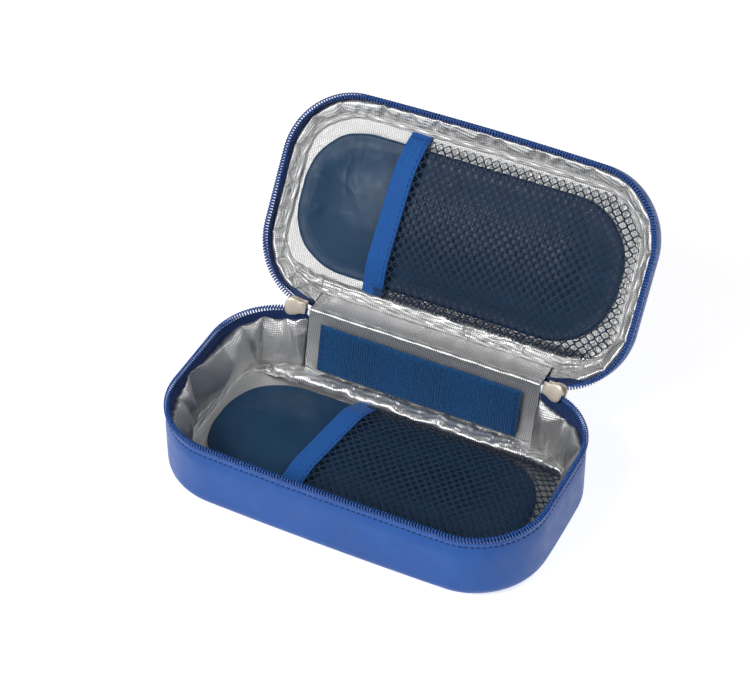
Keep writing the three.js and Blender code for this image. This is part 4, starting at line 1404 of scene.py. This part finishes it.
def add_loop_strip():
    x = np.linspace(-STRIP_HALF, STRIP_HALF, 500)[:, None]
    level = np.linspace(STRIP_TOP, STRIP_FOOT, 70)
    flat = spread(x, level, 12.0)
    edge = np.minimum(STRIP_HALF - np.abs(x), np.minimum(level - STRIP_TOP, STRIP_FOOT - level))
    rows = 0.5 + 0.5 * np.cos(TAU * x / PILE_PITCH)
    pile = 0.5 * rows + 0.5 * np.abs(noise(flat, 0.9)) + 0.2 * np.abs(noise(flat, 2.4))
    pile = pile * smooth(edge, 0.8, 2.0) - smooth(edge, 0.9, 0)
    stand = back_inset(base, level) + STRIP_STAND + 0.3 * noise(flat * (1, 0.2, 1), 30)
    front = base.on(back_line(x), stand + STRIP_THICKNESS - 0.5 + 0.5 * pile, level)
    back = base.on(back_line(x), stand - 0.35, level)
    strip = add_sheet("loop_strip", front, back, LOOP, flat[..., [1, 0, 2]])
    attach(strip, "base")
    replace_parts(strip, "loop_fastener_strip")
    inward = base.turn(0.0, -1.0, 0.0)
    for number, row in enumerate((8, -9)):
        seam = front[row, 2:-2] + inward * 0.3
        add_stitches(f"strip_stitching_{number + 1}", seam, inward, STRIP_STITCH, "base")


# Sliders and pull tabs

SLIDER_LENGTH = 11.0
SLIDER_HEIGHT = 9.0
SLIDER_TAIL = 6.2
SLIDER_LEAN = math.radians(30)
SLIDER_CENTRE = 7.5
SHARP_ANGLE = math.radians(38)
PLATE = 1.2
PLATE_BEVEL = 0.3
PLATE_DOME = 0.25
OUTER_FACE = -1.7
INNER_FACE = 2.2
RAIL = (4.2, 0.7)
RAIL_X = 1.6
RAIL_HEIGHT = 4.0
POST = (2.4, 2.2)
POST_X = 3.4
BAIL_INSET = -5.1
BAIL_HALF = 2.55
BAIL_WIRE = 0.62
BAIL_CORNER = 0.9
TAB_LENGTH = 22.0
TAB_NECK = 2.4
TAB_WIDTH = 6.0
TAB_TIP = 7.4
TAB_THICKNESS = 1.0
TAB_HOLE = 1.3
KNUCKLE = 1.15


def slider_place(side, points, lean):
    """From the slider's own X, inset and height to the case, turned onto the rim's corner."""
    x, inset, height = points[..., 0], points[..., 1], points[..., 2]
    out = CORNER_RADIUS - inset * math.cos(lean) + height * math.sin(lean)
    up = inset * math.sin(lean) + height * math.cos(lean)
    cos, sin = math.cos(SLIDER_CENTRE / CORNER_RADIUS), -math.sin(SLIDER_CENTRE / CORNER_RADIUS)
    x, y = HINGE_HALF + x * cos - out * sin, SIDE_HALF + x * sin + out * cos
    return spread(side * x, y, HINGE_HEIGHT + up)


def bezier(a, b, c, d, count):
    t = np.linspace(0, 1, count)[:, None]
    a, b, c, d = map(np.array, (a, b, c, d))
    return (1 - t) ** 3 * a + 3 * (1 - t) ** 2 * t * b + 3 * (1 - t) * t**2 * c + t**3 * d


def slider_outline():
    nose, wide, narrow = SLIDER_LENGTH / 2, SLIDER_HEIGHT / 2, SLIDER_TAIL / 2
    waist, shoulder = -nose / 3, nose / 3
    half = np.concatenate(
        [
            bezier((-nose, -narrow + 0.9), (-nose, -narrow), (-nose, -narrow), (-nose + 0.9, -narrow), 6),
            bezier((-nose + 1, -narrow), (waist, -narrow), (0, -wide), (shoulder, -wide), 14),
            bezier((shoulder, -wide), (shoulder + 2.6, -wide), (nose, -wide + 1.2), (nose, 0), 16)[1:],
        ]
    )
    return np.concatenate([half, half[::-1][1:] * (1, -1)])


def bevelled_plate(outline, near, far, bevel, dome=0.0):
    """A plate with rounded edges: outline in X and height, thickness along the inset."""
    middle = outline.mean(0)
    reach = np.abs(outline - middle).max(0).mean()
    steps = (
        (bevel, near),
        (bevel * 0.3, near + bevel * 0.3),
        (0, near + bevel),
        (0, far - bevel),
        (bevel * 0.3, far - bevel * 0.3),
        (bevel, far),
        (bevel * 3.2, far + dome * 0.7),
        (bevel * 5.5, far + dome),
    )
    rings = [(middle + (outline - middle) * (1 - abs(shrink) / reach), depth) for shrink, depth in steps]
    rings = np.stack([spread(ring[:, 0], depth, ring[:, 1]) for ring, depth in rings])
    rows, cols = rings.shape[:2]
    caps = [list(range(cols)), [rows * cols - 1 - i for i in range(cols)]]
    return rings.reshape(-1, 3), grid_faces(rows, cols, around=True).tolist() + caps


def box_solid(size, near, far, x, z):
    outline = np.array([(-1, -1), (0, -1), (1, -1), (1, 0), (1, 1), (0, 1), (-1, 1), (-1, 0)], float)
    return bevelled_plate(outline * size / 2 + (x, z), near, far, 0.12)


def level_bar(path, radius, sides):
    return closed_bar(tube(path, np.array((0, 0, 1.0)), radius, sides), around=False)


def add_casting(name, side, parts, lean):
    """One metal mesh from several solids of the slider or its pull."""
    points, faces = [], []
    for part_points, part_faces in parts:
        first = sum(map(len, points))
        points.append(part_points)
        faces += [[i + first for i in face] for face in part_faces]
    obj = add_mesh(name, slider_place(side, np.concatenate(points), lean), faces, METAL)
    obj.data.set_sharp_from_angle(angle=SHARP_ANGLE)
    return obj


def add_slider(side, name):
    outline = slider_outline()
    parts = [
        bevelled_plate(outline, OUTER_FACE, OUTER_FACE - PLATE, -PLATE_BEVEL, -PLATE_DOME),
        bevelled_plate(outline, INNER_FACE, INNER_FACE + PLATE, PLATE_BEVEL, PLATE_DOME),
        box_solid(POST, OUTER_FACE - 0.3, INNER_FACE + 0.3, POST_X, 0),
    ]
    for near, far in ((OUTER_FACE - 0.3, OUTER_FACE + 0.6), (INNER_FACE - 0.6, INNER_FACE + 0.3)):
        parts += [box_solid(RAIL, near, far, RAIL_X, z) for z in (RAIL_HEIGHT, -RAIL_HEIGHT)]
    bail = [(-BAIL_HALF, OUTER_FACE - PLATE + 0.4)]
    for t in np.linspace(0, math.pi / 2, 6):
        rounding = BAIL_CORNER * (1 - np.array((math.cos(t), math.sin(t))))
        bail.append((-BAIL_HALF, BAIL_INSET) + rounding)
    bail = np.array([(x, inset, 0.0) for x, inset in bail])
    parts.append(level_bar(np.concatenate([bail, bail[::-1] * (-1, 1, 1)]), BAIL_WIRE, 12))
    body = add_casting(f"{name}_slider_cast", side, parts, SLIDER_LEAN)
    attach(body, f"{name}_slider")
    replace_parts(body, f"{name}_slider_body")


def add_pull(side, name):
    tip, neck, half = TAB_TIP / 2, BAIL_HALF - 1.0, TAB_THICKNESS / 2
    waist, shoulder = (TAB_WIDTH / 2, -TAB_NECK), (TAB_WIDTH / 2, -TAB_NECK - tip / 2)
    hole = np.array((0, tip - TAB_LENGTH))
    turn = np.linspace(0, -math.pi / 2, 14)[1:, None]
    right = np.concatenate(
        [
            bezier((neck, 0.4), (neck, -TAB_NECK), waist, shoulder, 10),
            bezier(shoulder, (TAB_WIDTH / 2 - 0.5, -9), (tip - 0.5, -13), (tip, hole[1]), 14)[1:],
            hole + tip * np.concatenate([np.cos(turn), np.sin(turn)], 1),
        ]
    )
    outline = np.concatenate([right, right[::-1][1:] * (-1, 1)])[::-1]
    ray = unit(outline - hole)
    tangent = unit(np.roll(outline, -1, 0) - np.roll(outline, 1, 0))
    normal = np.stack([tangent[:, 1], -tangent[:, 0]], -1)
    face = [
        (hole + ray * TAB_HOLE, 0.2),
        (hole + ray * (TAB_HOLE + 0.2), 0),
        (hole + ray * (TAB_HOLE + 0.9), 0),
        (outline - normal, 0.18),
        (outline - normal * 0.7, 0),
        (outline - normal * 0.25, 0),
        (outline, 0.25),
    ]
    rings = [(ring, BAIL_INSET + half - sunk) for ring, sunk in face]
    rings += [(ring, BAIL_INSET - half + sunk) for ring, sunk in face[::-1]]
    plate = closed_bar(np.stack([spread(ring[:, 0], depth, ring[:, 1]) for ring, depth in rings], 1))
    knuckle = level_bar(spread(np.linspace(-neck, neck, 7), BAIL_INSET, 0), KNUCKLE, 16)
    pull = add_casting(f"{name}_pull_plate", side, [plate, knuckle], 0.0)
    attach(pull, f"{name}_pull")
    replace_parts(pull, f"{name}_pull_tab")


for tray in TRAYS:
    for add_piece in (add_zip_tape, add_coil, add_pack, add_net, add_net_hem, add_band):
        add_piece(tray)
for add_piece in (add_wall_padding, add_floor_padding, add_floor_roll):
    for tray in TRAYS:
        add_piece(tray)
add_back_cover()
add_back_lining()
add_loop_strip()
for side, name in ((-1, "left"), (1, "right")):
    add_slider(side, name)
    add_pull(side, name)
